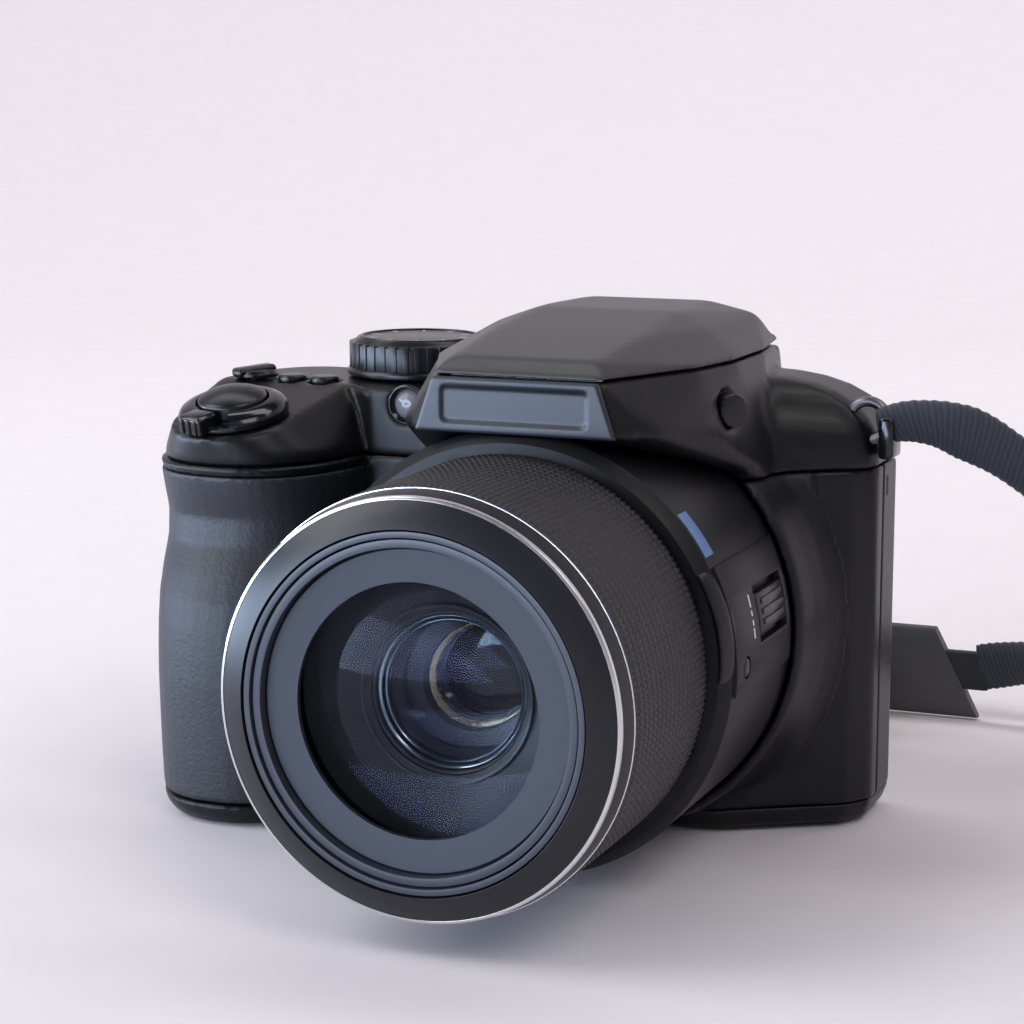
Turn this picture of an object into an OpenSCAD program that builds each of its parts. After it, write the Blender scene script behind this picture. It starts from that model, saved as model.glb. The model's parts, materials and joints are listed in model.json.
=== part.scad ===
// Bridge camera with a long fixed zoom, a pop-up flash and a neck strap.
// Millimetres. The origin is the mouth of the tripod socket, Z is up and the lens looks along -Y.
// The grip is on the -X side.

/* [Body] */
// Height of the lens axis above the base
lens_z = 37; // [36.6:0.1:38.5]
// Left side wall, from the lens axis
left_x = 43.6; // [42:0.1:50]
// Rear face, from the tripod axis
rear_y = 25; // [24.5:0.1:28]
// Front panel beside the lens, forward of the tripod axis
panel_h = 8.5; // [8:0.1:10]
// Plane where the front and rear covers meet
part_y = 14; // [13.9:0.1:15.5]
// Height where the top cover sits on the covers below it
seam_z = 61.3; // [61:0.1:63]
// Height of the left shoulder
shoulder_z = 76.4; // [75:0.1:77]
// Height of the deck that carries the dials
deck_z = 72.6; // [72.2:0.1:74]
// Thickness of the base cover and of the battery door
base_t = 4.2; // [3.8:0.1:4.6]
// Rounding of the base cover's lower edge, seen from the side
base_round = 3.6; // [2.5:0.1:3.7]
// Wall of the moulded covers
wall = 1.8; // [1.5:0.1:2]
// Radius of the body's upright edges
edge_r = 3; // [2:0.1:4]
// Gap round buttons, dials and doors
gap = 0.3; // [0.25:0.05:0.35]
// Radial clearance of a turning shaft in its bore
shaft_fit = 0.05; // [0.03:0.01:0.08]

/* [Grip] */
// Middle of the grip, from the lens axis
grip_x = 59.3; // [59:0.1:61]
// Room between the battery chamber and the grip's surface, at the sides
grip_room = 2.8; // [2.7:0.1:4.5]
// Half of the grip's depth
grip_b = 29.5; // [29:0.1:31]
// Squareness of the grip's outline
grip_n = 2.3; // [2.3:0.1:2.8]
// How far the grip's sides are drawn in at its waist
waist_in = 0.6; // [0.3:0.1:0.7]
// How much further its front is drawn in there, for the fingers
waist_front = 4; // [2:0.5:5]
// How far its front leans back from its middle up to the seam
grip_lean = 2.5; // [1:0.1:3]
// Height of the waist
waist_z = 50; // [46:0.5:53]
// Thickness of the grip rubber
rubber_t = 1.2; // [1:0.1:1.3]
// Height of the rubber's upper edge
rubber_top = 59.6; // [58:0.1:60.4]

/* [Battery] */
// Diameter of one AA cell
cell_d = 14.5; // [14:0.1:14.5]
// Length of one AA cell
cell_len = 50.5; // [49:0.1:51]
// Distance between cell axes
cell_pitch = 14.8; // [14.7:0.1:15]
// Radial clearance of a cell in its chamber
cell_fit = 0.1; // [0.05:0.05:0.15]
// Width of the memory card
card_w = 24; // [23:0.1:24]
// Length of the memory card
card_len = 32; // [30:0.5:32]
// Thickness of the memory card
card_t = 2.1; // [1.8:0.1:2.1]

/* [Lens] */
// Reach of the front ring's lip, forward of the tripod axis
lens_front = 83.25; // [80:0.25:90]
// Radius inside the front ring's lip
lip_r = 26.7; // [26:0.1:27.2]
// Largest radius of the front ring
ring_r = 31.8; // [31.4:0.1:32]
// Radius of the front ring where its cone meets its rim
cone_r = 31; // [30:0.1:31.2]
// Depth of the front ring's cone
cone_h = 2.25; // [1.5:0.05:3]
// Length of the front ring
ring_len = 6.25; // [5.5:0.05:7]
// Radius over the ribs of the sleeve
sleeve_r = 32.1; // [31.9:0.1:32.8]
// Number of ribs round the sleeve
sleeve_ribs = 140; // [100:1:150]
// Depth of the ribs
rib_depth = 0.35; // [0.3:0.05:0.6]
// Radius of the collar at the root of the lens
collar_r = 35.2; // [34.6:0.1:35.3]
// Front of the collar, forward of the tripod axis
collar_h = 45; // [42:0.5:48]
// Bevel round the collar's front
collar_bevel = 1.6; // [0.8:0.1:2]
// Wall of the fixed lens housing
housing_t = 2.1; // [1.6:0.1:2.3]
// Wall of the outer zoom tube
outer_tube_t = 0.9; // [0.7:0.05:1]
// Wall of the inner zoom tube
inner_tube_t = 1.2; // [1:0.05:1.4]
// Length of the zoom tubes
tube_len = 45; // [42:0.5:50]
// Radius of the opening in the front bezel
bezel_r = 18.8; // [17:0.1:19.5]
// Radius of the front lens
front_lens_r = 22.5; // [22:0.1:22.6]
// Radius of curvature of the front lens
front_lens_curve = 52; // [45:1:80]
// Radius of the inner lens
inner_lens_r = 11; // [9:0.1:12]
// Radius of the rear lens group
rear_lens_r = 8.8; // [7:0.1:10]

/* [Hump] */
// Height of the seam below the flash lid
lid_z = 80.5; // [80:0.1:81.5]
// Height of the flash lid's roof
roof_z = 87.3; // [86:0.1:88.5]
// How far the hump's front stands behind the collar's front
brow_back = 2.2; // [1:0.1:5]
// Half of the hump's width at the flash lid
lid_half = 24.8; // [24:0.1:25.5]
// Half of the hump's width at its front
brow_half = 13.6; // [13:0.1:15]
// Height of the hump's lower front edge
brow_z = 71.7; // [71.5:0.1:73]
// Thickness of the hump's front plate
plate_t = 1.4; // [1:0.1:1.8]
// Wall of the flash lid
lid_t = 1.6; // [1.3:0.1:2]
// Radius of the flash hinge pin
hinge_pin_r = 0.8; // [0.6:0.05:0.9]
// Width of the eyecup
eyecup_w = 32; // [28:0.5:34]
// Height of the eyecup
eyecup_h = 17; // [15:0.5:17]
// How far the eyecup stands out
eyecup_len = 8; // [6:0.5:10]

/* [Controls] */
// Radius of the mode dial
dial_r = 12.5; // [11:0.1:12.6]
// Height of the mode dial
dial_t = 6.5; // [5:0.1:8]
// Number of ribs on the mode dial
dial_ribs = 36; // [24:1:48]
// Radius of the command dial
command_r = 7.2; // [6.6:0.1:7.6]
// Radius of the zoom lever's ring
lever_r = 9.4; // [9:0.1:9.8]
// Radius of the shutter button
shutter_r = 5.9; // [5:0.1:6.2]
// Tilt of the shutter's seat towards the front
shutter_tilt = 13; // [10:0.5:15]
// Radius of the small top buttons
top_button_r = 2.5; // [2:0.1:2.8]
// Radius of the rear buttons
rear_button_r = 2.8; // [2.2:0.1:3]
// How far a button stands out
button_out = 0.9; // [0.6:0.1:1.2]
// Radius of the four-way pad
pad_r = 10.5; // [9:0.1:11]
// Radius of its centre button
ok_r = 4.5; // [3.5:0.1:5]
// Radius of the flash release button
flash_button_r = 2.7; // [2.2:0.1:2.9]

/* [Monitor] */
// Width of the monitor window
lcd_w = 67; // [60:0.5:68]
// Height of the monitor window
lcd_h = 51; // [45:0.5:51.5]
// Thickness of the monitor window
lcd_t = 1.2; // [1:0.1:1.2]

/* [Mounts] */
// Radius of the tripod thread, a quarter inch across
tripod_r = 3.175; // [3.175:0.001:4.762]
// Depth of the tripod thread
tripod_depth = 4.6; // [4:0.1:4.8]
// Radius of the tripod bush
bush_r = 6.3; // [6:0.1:6.5]
// Middle radius of a strap lug's loop
lug_r = 3.2; // [3:0.1:3.6]
// Radius of the lug's wire
lug_wire = 0.9; // [0.7:0.05:1]

/* [Strap] */
// Width of the webbing
web_w = 8.4; // [7:0.1:10]
// Thickness of the webbing, bunched as it hangs
web_t = 4.4; // [3:0.1:4.6]
// Width of the neck pad
neck_w = 17.5; // [16:0.5:18]
// Thickness of the neck pad
neck_t = 2.6; // [2:0.1:3]
// Distance between the folded runs of the neck pad
fold_pitch = 6.7; // [6.5:0.1:6.8]
// Number of folded runs
fold_runs = 9; // [3:2:9]

/* [Hidden] */
$fn = 64;
SKIN = 0.05;
BIG = 200;

brow_h = collar_h - brow_back;

// Lens radii that follow from one another, from the outside in
housing_r = lip_r + housing_t;
seat_r = housing_r + 0.1;
outer_tube_r = lip_r - gap;
inner_tube_r = outer_tube_r - outer_tube_t - gap;
cell_r = inner_tube_r - inner_tube_t - SKIN;
ring_back = lens_front - ring_len;
tube_front = lens_front - 0.35;
bezel_h = lens_front - 2.25;
lens_seat_h = bezel_h - 9.6;
inner_seat_h = lens_seat_h - 4;
inner_len = 4.5;
housing_back = -5;
housing_floor = 2;
flange_out = 2;
flange_t = 1.6;
panel_bend = 10;

// Grip
grip_cx = -grip_x;
chamber_wall = 0.65;
block_half = cell_pitch / 2 + cell_d / 2 + cell_fit + chamber_wall;
grip_a = block_half + grip_room;
grip_cy = rear_y - 0.5 - grip_b;
ring_points = 48;
foot_r = base_round;
waist_span = 8;
grip_taper = 0.8;
lean_low = 26;
function sgn_pow(v, p) = sign(v) * pow(abs(v), p);
function oval(t, a, b) = [a * sgn_pow(cos(t), 2 / grip_n), b * sgn_pow(sin(t), 2 / grip_n)];
function foot_in(z) = z < foot_r ? foot_r - sqrt(foot_r * foot_r - pow(foot_r - z, 2)) : 0;
function waist(z) = exp(-pow((z - waist_z) / waist_span, 2));
function grip_in(z) = waist_in * waist(z) + foot_in(z) + grip_taper * pow(max(0, 1 - z / 30), 2);
function front_in(z) = waist_front * waist(z) + grip_lean * max(0, (z - lean_low) / (seam_z - lean_low));
// Outline of the grip as points round its middle, its front set back further than its sides
function grip_outline(inset, ahead) =
    [for (i = [0:ring_points - 1])
        let (t = 360 * i / ring_points, b = grip_b - inset - (sin(t) < 0 ? ahead : 0))
        oval(t, grip_a - inset, b)];
function grip_ring(z, inset) =
    [for (p = grip_outline(inset + grip_in(z), front_in(z))) [grip_cx + p.x, grip_cy + p.y, z]];
function spread(low, high, steps) = [for (i = [0:steps]) low + (high - low) * i / steps];
foot_levels = [0, 0.15, 0.6, 1.4, 2.4];
grip_levels = concat([base_t], spread(base_t + 2, seam_z, 12));
grip_levels_past = concat([base_t - 1], grip_levels, [seam_z + 1]);

// Battery compartment
block_cy = grip_cy + 1;
block_low = base_t + 0.4;
cell_low = base_t + 1.6;
block_top = cell_low + cell_len + 1.6;
card_y = block_cy + block_half + 0.9;
block_rear = card_y + card_t + 1;
contact_w = 5;
contact_t = 0.5;
contact_over = 3;

// Hump and flash lid
lens_top_clear = collar_r + gap;
cowl_h = panel_h + 3.4;
cowl_x = 16;
hump_low_half = 30;
lid_rear_y = rear_y - 2.4;
hinge_y = lid_rear_y - 1.5;
hinge_z = lid_z + 1.5;
hinge_half = 9;
knuckle_half = 6;
knuckle_r = hinge_pin_r + 1.2;
ear_r = hinge_pin_r + 0.8;
ear_t = hinge_half - knuckle_half - gap;
lid_step_z = hinge_z - 2.5;
head_half = 12.5;
head_front = brow_h - 4;
head_len = 13;
head_depth = 5.2;
lid_solid_y = head_len + 2 - head_front;
finder_len = 18.5;
eye_z = lid_z - 10.3;
eye_half_w = eyecup_w / 2 - 5;
eye_half_h = eyecup_h / 2 - 3;

// Rounding of the left shoulder, seen from the front
shoulder_w = 20;
shoulder_h = 12;
shoulder_crisp = 0.12;
shoulder_back = 0.4;
shoulder_steps = 7;

// Places of the controls
dial_at = [-40.5, rear_y - 13];
command_at = [grip_cx + 0.3, rear_y - 8.2];
command_low = seam_z + 2.6;
command_t = 4.8;
seat_y = grip_cy + 0.5;
crease_y = seat_y + 1;
shutter_at = [grip_cx - 0.9, seat_y - 16.5];
shutter_z = deck_z - tan(shutter_tilt) * (crease_y - shutter_at.y);
switch_at = [grip_cx - 6.7, seat_y + 3];
switch_r = 3.8;
top_buttons = [[grip_cx + 0.1, seat_y + 3.5], [grip_cx + 6.3, seat_y + 3.5]];
button_sink = 1.6;
lever_t = 2.6;
lever_tab = [5, 6.4, 3.6];
lever_turn = -112;
press = 0.6;
flash_button_at = [26.2, -17, brow_z + 1.8];
flash_button_turn = 55;
lamp_at = [-34, lens_z + 33.2];
lamp_r = 2.6;
plate_span = [-6, 27];
plate_h = [13.2, 42.2];
plate_out = 0.5;
rocker_angle = 11;
rocker_half = 5;
rocker_room = 2.2;
rocker_h = [15.5, 29.5];
rocker_t = 1.3;
rocker_floor = collar_r - 1;
small_button_h = 37;
small_button_r = 1.5;
rear_right_x = -33;
pad_at = [-47, 28];
movie_at = [-35, seam_z + 4.6];
play_at = [rear_right_x, 52];
display_at = [rear_right_x - 2, 10];
finder_at = [33, seam_z + 5.5];
dioptre_at = [21, eye_z];
dioptre_r = 3.4;
lcd_at = [8.6, 31.6];
thumb_w = 14;
thumb_h = 18;
thumb_z = 38;
sensor_w = 13;
sensor_h = 11;
sensor_t = 2;
board_left = -36;
board_low = 9;
board_w = 68;
board_h = 49;
board_t = 1.4;
door_hinge_x = grip_cx + grip_a + 1.2;
door_hinge_y = 8;
door_hinge_z = 1.6;
door_pin_r = 0.9;
door_pin_half = 11;
door_leaf_half = 7;
terminal_z = [17, 36];
terminal_y = part_y + 3.5;
terminal_len = 5;
terminal_t = 1.4;
knuckle_t = 0.7;
knuckle_pin_r = 0.45;
knuckle_pin_len = 0.9;
function grip_side(y, z) =
    let (d = grip_in(z))
    grip_cx - (grip_a - d) * pow(1 - pow(abs(y - grip_cy) / (grip_b - d), grip_n), 1 / grip_n);
terminal_axis = [grip_side(terminal_y, terminal_z[0]) + knuckle_t + 0.05, terminal_y];
base_split_x = door_hinge_x - 1.6;
screw_r = 1.6;
base_screws = [[33, 17], [-30, 18], [-26, 0.5], [18, 19]];
lug_left = [left_x - 1.7, 9, shoulder_z - 7.1];
lug_right = [grip_cx - grip_a + 1.6, 4, seam_z + lug_r + lug_wire + 0.3];

// Frames and helpers

// Local Z runs forward along the lens axis
module on_lens() { translate([0, 0, lens_z]) rotate([90, 0, 0]) children(); }

// Local Z runs out of the rear face
module on_rear(at) { translate([at.x, rear_y, at.y]) rotate([-90, 0, 0]) children(); }

// Local Z runs up along the shutter's own axis
module on_shutter() {
    translate([shutter_at.x, shutter_at.y, shutter_z]) rotate([shutter_tilt, 0, 0]) children();
}

// Local Z runs out of the flash release button
module on_flash_button() {
    translate(flash_button_at) rotate([0, 0, flash_button_turn]) rotate([90, 0, 0]) children();
}

module turned(points) { rotate_extrude() polygon(points); }

module ring(outer, inner, height) {
    difference() {
        cylinder(r = outer, h = height);
        translate([0, 0, -1]) cylinder(r = inner, h = height + 2);
    }
}

module rounded_square(size, r) {
    offset(r = r) square([size.x - 2 * r, size.y - 2 * r], center = true);
}

module ribbed(r, depth, ribs) {
    turn = 360 / ribs;
    polygon([for (i = [0:ribs - 1]) for (s = [[0, 0], [0.45, 0], [0.6, 1], [0.85, 1]])
        (r - depth * s.y) * [cos((i + s.x) * turn), sin((i + s.x) * turn)]]);
}

module half_space_y(low, high) { translate([-BIG / 2, low, -BIG / 2]) cube([BIG, high - low, BIG]); }

// A solid through rings of equal point counts, each ring seen turning left from above
module loft(rings) {
    n = len(rings[0]);
    last = len(rings) - 1;
    sides = [for (s = [0:last - 1]) for (i = [0:n - 1])
        let (a = s * n + i, b = a + n, c = (s + 1) * n + (i + 1) % n, d = s * n + (i + 1) % n)
        each [[a, b, c], [a, c, d]]];
    bottom = [for (i = [0:n - 1]) i];
    top = [for (i = [n - 1:-1:0]) last * n + i];
    polyhedron([for (r = rings) each r], concat(sides, [bottom, top]));
}

module grip_body(inset, levels) { loft([for (z = levels) grip_ring(z, inset)]); }

// Outline of the body without the grip, seen from above
module body_plan() {
    offset(r = edge_r) offset(delta = -edge_r)
    polygon([
        [left_x, rear_y], [left_x, 10], [left_x - 3.2, 5.2], [33, 1], [22, 2.4 - panel_h], [panel_bend, -panel_h],
        [-41, -panel_h], [grip_cx + 7.3, 0], [grip_cx + 2.3, rear_y]
    ]);
}

module body_block(inset, low, high) {
    translate([0, 0, low]) linear_extrude(high - low) offset(delta = -inset) body_plan();
}

module chamber_block(grow) {
    half = block_half + grow;
    card_half = card_w / 2 + 1 + grow;
    card_end = block_rear - block_cy + grow;
    translate([grip_cx, block_cy, block_low - grow]) linear_extrude(block_top - block_low + 2 * grow) {
        rounded_square([2 * half, 2 * half], half - cell_pitch / 2);
        translate([0, card_end / 2]) rounded_square([2 * card_half, card_end], 1);
    }
}

// Everything between the base cover and the top cover, filled
module trunk(rubber) {
    body_block(0, base_t, seam_z);
    grip_body(rubber, grip_levels);
    if (rubber > 0) grip_body(0.15, spread(rubber_top + 0.2, seam_z, 2));
}

// Covers

module front_cover() {
    color("#26262a") difference() {
        intersection() {
            trunk(rubber_t);
            half_space_y(-BIG / 2, part_y);
        }
        intersection() {
            body_block(wall, base_t - 1, seam_z + 1);
            translate([base_split_x + wall, -BIG / 2, 0]) cube([BIG, BIG, BIG]);
        }
        chamber_room();
        on_lens() cylinder(r = seat_r + gap, h = 3 * panel_h, center = true);
    }
    color("#26262a") cowl(base_t, seam_z);
}

// Room for the battery chamber, open towards the door
module chamber_room() {
    chamber_block(SKIN);
    translate([0, 0, -block_low]) chamber_block(SKIN);
}

module rear_cover() {
    color("#26262a") difference() {
        intersection() {
            trunk(0);
            half_space_y(part_y, rear_y);
        }
        intersection() {
            body_block(wall, base_t - 1, seam_z + 1);
            translate([base_split_x + wall, -BIG / 2, 0]) cube([BIG, rear_y - wall + BIG / 2, BIG]);
        }
        chamber_room();
        on_rear(lcd_at) {
            translate([0, 0, -lcd_t]) linear_extrude(BIG) rounded_square([lcd_w, lcd_h], 2);
            translate([0, 0, -2 * wall]) linear_extrude(BIG) rounded_square([lcd_w - 2.8, lcd_h - 2.8], 1);
        }
        rear_hole(pad_at, pad_r);
        for (at = [play_at, display_at]) rear_hole(at, rear_button_r);
        terminal_patch(-gap, 2 * terminal_t);
        terminal_rod(knuckle_t + 0.55, gap);
        terminal_rod(knuckle_pin_r + shaft_fit, knuckle_pin_len + gap);
    }
}

module rear_hole(at, r) {
    depth = button_sink + press + gap;
    on_rear(at) translate([0, 0, -depth]) cylinder(r = r + gap, h = depth + 1);
}

// The piece of the grip's rear corner that the terminal cover closes
module terminal_patch(inset, depth) {
    intersection() {
        difference() {
            grip_body(0, grip_levels);
            grip_body(depth, grip_levels_past);
        }
        translate([grip_cx - BIG, terminal_y + inset, terminal_z[0] + inset])
            cube([BIG, terminal_len - 2 * inset, terminal_z[1] - terminal_z[0] - 2 * inset]);
    }
}

// A rod on the terminal cover's hinge axis that runs past both ends of the cover
module terminal_rod(r, past) {
    translate([terminal_axis.x, terminal_axis.y, terminal_z[0] - past])
        cylinder(r = r, h = terminal_z[1] - terminal_z[0] + 2 * past);
}

module terminal_cover() {
    color("#2c2c30") {
        terminal_patch(0, terminal_t);
        terminal_rod(knuckle_t, 0);
        terminal_rod(knuckle_pin_r, knuckle_pin_len);
    }
}

module base_cover() {
    color("#202024") difference() {
        union() {
            hull() {
                base_slice(base_round, 0);
                base_slice(base_round * 0.3, base_round * 0.35);
                base_slice(0, base_t - 0.1);
            }
        }
        translate([0, 0, -1]) cylinder(r = bush_r, h = base_t + 2);
        for (at = base_screws) translate([at.x, at.y, -1]) {
            cylinder(r = screw_r + 0.1, h = 2.2);
            cylinder(r = screw_r * 0.6, h = base_t + 2);
        }
        door_pin(door_pin_r + shaft_fit, door_pin_half + gap);
        translate([door_hinge_x - BIG, door_hinge_y - door_leaf_half - gap, -1])
            cube([BIG + 1.4, 2 * (door_leaf_half + gap), door_hinge_z + door_pin_r + gap + 1]);
    }
}

module base_slice(inset, z) {
    translate([0, 0, z]) linear_extrude(0.1) offset(delta = -inset) difference() {
        body_plan();
        translate([base_split_x - BIG, -BIG / 2]) square([BIG, BIG]);
    }
}

module top_cover() {
    color("#2a2a2e") difference() {
        union() {
            left_shoulder();
            hump();
            grip_top();
            dial_deck();
            cowl(seam_z, lid_z);
        }
        hump_hollow();
        intersection() {
            body_block(wall, seam_z - 1, shoulder_z - 0.9 * shoulder_h);
            translate([dial_at.x + dial_r, -BIG / 2, 0]) cube([BIG, rear_y - wall + BIG / 2, BIG]);
        }
        on_lens() cylinder(r = lens_top_clear, h = BIG);
        control_holes();
    }
    color("#2a2a2e") for (side = [-1, 1]) hinge_ear(side);
}

// One of the two ears that carry the flash lid's hinge pin
module hinge_ear(side) {
    x = side > 0 ? knuckle_half + gap : -knuckle_half - gap - ear_t;
    translate([x, hinge_y, hinge_z]) rotate([0, 90, 0]) difference() {
        union() {
            cylinder(r = ear_r, h = ear_t);
            translate([0, -ear_r, 0]) cube([hinge_z - lid_step_z, ear_r + 0.6, ear_t]);
        }
        translate([0, 0, -1]) cylinder(r = hinge_pin_r, h = ear_t + 2);
    }
}

// One level of the shoulder: its outer side is set in by i, its rear by less, its front by least
module shoulder_slice(i, z) {
    j = shoulder_crisp * i;
    back = rear_y - shoulder_back * i;
    slab([
        [0, back], [left_x - 1.5 - i, back], [left_x - i, back - 1.5], [left_x - i, 10],
        [left_x - 1 - i, 7.4], [left_x - 3.2 - i, 5.2 + j], [33 - i, 1 + j],
        [22 - 0.5 * i, 2.4 - panel_h + j], [panel_bend, j - panel_h], [0, j - panel_h]
    ], z, 0.1);
}

module left_shoulder() {
    hull() {
        shoulder_slice(0, seam_z);
        for (i = [0:shoulder_steps]) let (t = 90 * i / shoulder_steps)
            shoulder_slice(shoulder_w * (1 - cos(t)), shoulder_z - 0.1 - shoulder_h * (1 - sin(t)));
    }
}

// Raised lip that follows the collar on the left side of the body and runs out into the front panel
module cowl(low, high) {
    intersection() {
        on_lens() turned([
            [lens_top_clear, -1], [lens_top_clear, cowl_h], [collar_r + 1, cowl_h + 0.5],
            [collar_r + 1.9, cowl_h - 0.6], [collar_r + 2.8, 7], [collar_r + 4, 3], [collar_r + 5.6, 0],
            [collar_r + 7, -1]
        ]);
        translate([cowl_x, -BIG / 2, low]) cube([left_x - 0.4 - cowl_x, BIG, high - low]);
    }
}

module dial_deck() {
    translate([0, 0, seam_z]) linear_extrude(deck_z - seam_z) intersection() {
        body_plan();
        translate([grip_cx + 6.3, -BIG / 2]) square([-grip_cx - 6.3, BIG]);
    }
    translate([dial_at.x, dial_at.y, deck_z - 1]) cylinder(r = dial_r - 0.6, h = 1.3);
}

module oval_slice(inset, z, ahead = 0) {
    translate([grip_cx, grip_cy, z]) linear_extrude(0.1) polygon(grip_outline(inset, ahead));
}

module grip_top() {
    hull() {
        oval_slice(0.9, seam_z, front_in(seam_z));
        oval_slice(1.4, seam_z + 2, front_in(seam_z) - 0.6);
        intersection() {
            oval_slice(3.4, deck_z - 2.4);
            translate([-BIG, crease_y, 0]) cube(BIG);
        }
        intersection() {
            oval_slice(5.6, deck_z - 0.1);
            translate([-BIG, crease_y, 0]) cube(BIG);
        }
        on_shutter() translate([0, 0, -0.1]) cylinder(r = lever_r + 1.2, h = 0.1, $fn = 32);
    }
}

function mirrored(points) = concat(points, [for (i = [len(points) - 1:-1:0]) [-points[i].x, points[i].y]]);
lid_plan = mirrored([
    [brow_half, -brow_h], [lid_half - 2.4, 21.6 - brow_h], [lid_half - 0.2, 34 - brow_h],
    [lid_half - 0.3, 50 - brow_h], [lid_half - 3, rear_y]
]);
brow_plan = mirrored([
    [brow_half + 2.9, -brow_h], [brow_half + 8, 5 - brow_h], [lid_half + 0.6, 17 - brow_h],
    [lid_half + 1.2, 31 - brow_h], [lid_half + 0.6, 50 - brow_h], [lid_half - 2, rear_y]
]);
hump_root = mirrored([[hump_low_half, 1 - panel_h], [lid_half + 2.2, 5], [lid_half - 1, rear_y]]);

module slab(points, z, thick) { translate([0, 0, z]) linear_extrude(thick) polygon(points); }

module hump() {
    hull() {
        slab(hump_root, seam_z, 0.1);
        slab(brow_plan, brow_z, 0.1);
        slab(lid_plan, lid_z - gap - 0.1, 0.1);
    }
}

// Room inside the hump for the flash head, its hinge and the viewfinder
module hump_hollow() {
    translate([-head_half - 1, -head_front - 1, lid_z - head_depth - 1])
        cube([2 * head_half + 2, head_len + 3, BIG]);
    translate([-BIG / 2, hinge_y - 3, lid_step_z]) cube([BIG, BIG, BIG]);
    on_rear([0, eye_z]) translate([0, 0, -finder_len - 1]) linear_extrude(BIG)
        rounded_square(2 * [eye_half_w, eye_half_h], 2);
}

module control_holes() {
    translate([dial_at.x, dial_at.y, deck_z - 8]) cylinder(r = 3 + shaft_fit, h = BIG);
    translate([command_at.x, command_at.y, command_low - gap])
        cylinder(r = command_r + gap, h = command_t + 2 * gap);
    translate([command_at.x, command_at.y, command_low - 1.6])
        cylinder(r = 1.5 + shaft_fit, h = command_t + 3.2);
    translate([switch_at.x, switch_at.y, deck_z - 4]) cylinder(r = 1.6 + shaft_fit, h = BIG);
    for (at = top_buttons) translate([at.x, at.y, deck_z - button_sink - press - gap])
        cylinder(r = top_button_r + gap, h = BIG);
    on_shutter() translate([0, 0, -2.1]) cylinder(r = shutter_r + gap, h = 9);
    on_flash_button() translate([0, 0, -2.2 - press - gap])
        cylinder(r = flash_button_r + gap, h = 9);
    translate([lamp_at.x, 2 - panel_h, lamp_at.y]) rotate([90, 0, 0]) cylinder(r = lamp_r, h = 9);
    translate([lamp_at.x, 0.8 - panel_h, lamp_at.y]) rotate([90, 0, 0]) cylinder(r = lamp_r + 0.9, h = 9);
    rear_hole(movie_at, rear_button_r + 0.4);
    rear_hole(finder_at, rear_button_r);
    on_rear(dioptre_at) translate([0, 0, -4]) cylinder(r = 1.2 + shaft_fit, h = 9);
}

module grip_rubber() {
    color("#3a3a40") difference() {
        grip_body(0, grip_levels);
        grip_body(rubber_t - SKIN, grip_levels_past);
        body_block(-SKIN, base_t - 1, seam_z + 1);
        half_space_y(part_y - 0.1, BIG);
        translate([-BIG, -BIG / 2, rubber_top]) cube(BIG);
    }
}

module thumb_rest() {
    color("#3a3a40") difference() {
        intersection() {
            grip_body(-1, grip_levels);
            translate([grip_cx - thumb_w / 2, rear_y - 8, thumb_z]) cube([thumb_w, thumb_w, thumb_h]);
        }
        grip_body(-SKIN, grip_levels_past);
        body_block(-SKIN, base_t, seam_z + 1);
    }
}

module front_plate() {
    color("#34363c") difference() {
        translate([0, -brow_h, 0]) rotate([90, 0, 0]) linear_extrude(plate_t) polygon([
            [-brow_half - 2.9, brow_z], [brow_half + 2.9, brow_z],
            [brow_half, lid_z - gap], [-brow_half, lid_z - gap]
        ]);
        translate([0, 0.4 - brow_h - plate_t, (brow_z + lid_z) / 2]) rotate([90, 0, 0]) linear_extrude(1)
            rounded_square([24, 5.6], 1);
    }
}

// Lens, fixed part

module lens_collar() {
    channel_r = collar_r - 2;
    color("#242428") difference() {
        union() {
            on_lens() turned([
                [seat_r, collar_h], [collar_r - collar_bevel, collar_h], [collar_r, collar_h - 2],
                [collar_r, panel_h], [channel_r, panel_h], [channel_r, collar_h - 3], [seat_r, collar_h - 3]
            ]);
            on_lens() rotate(plate_span[0]) rotate_extrude(angle = plate_span[1] - plate_span[0])
                translate([collar_r - 0.5, plate_h[0]]) square([plate_out + 0.5, plate_h[1] - plate_h[0]]);
        }
        on_lens() rotate(rocker_angle - rocker_half - rocker_room)
            rotate_extrude(angle = 2 * (rocker_half + rocker_room))
            polygon([
                [rocker_floor, rocker_h[0] - gap], [BIG, rocker_h[0] - gap],
                [BIG, rocker_h[1] + gap], [rocker_floor, rocker_h[1] + gap]
            ]);
        translate([channel_r - 1, -small_button_h, lens_z]) rotate([0, 90, 0])
            cylinder(r = small_button_r + gap, h = 9);
        // A flat that clears the plate on the hump's front
        translate([-BIG / 2, 1 - brow_h - BIG, brow_z - gap]) cube(BIG);
    }
}

module ribbed_sleeve() {
    color("#2b2b2f") on_lens() translate([0, 0, collar_h]) difference() {
        linear_extrude(ring_back - collar_h) ribbed(sleeve_r, rib_depth, sleeve_ribs);
        translate([0, 0, -1]) cylinder(r = seat_r, h = ring_back - collar_h + 2);
    }
}

module front_ring() {
    color("#141417") on_lens() turned([
        [lip_r, lens_front], [cone_r, lens_front - cone_h], [ring_r, ring_back + 0.2], [ring_r, ring_back],
        [seat_r, ring_back], [seat_r, ring_back + 1], [lip_r, ring_back + 1]
    ]);
}

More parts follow.
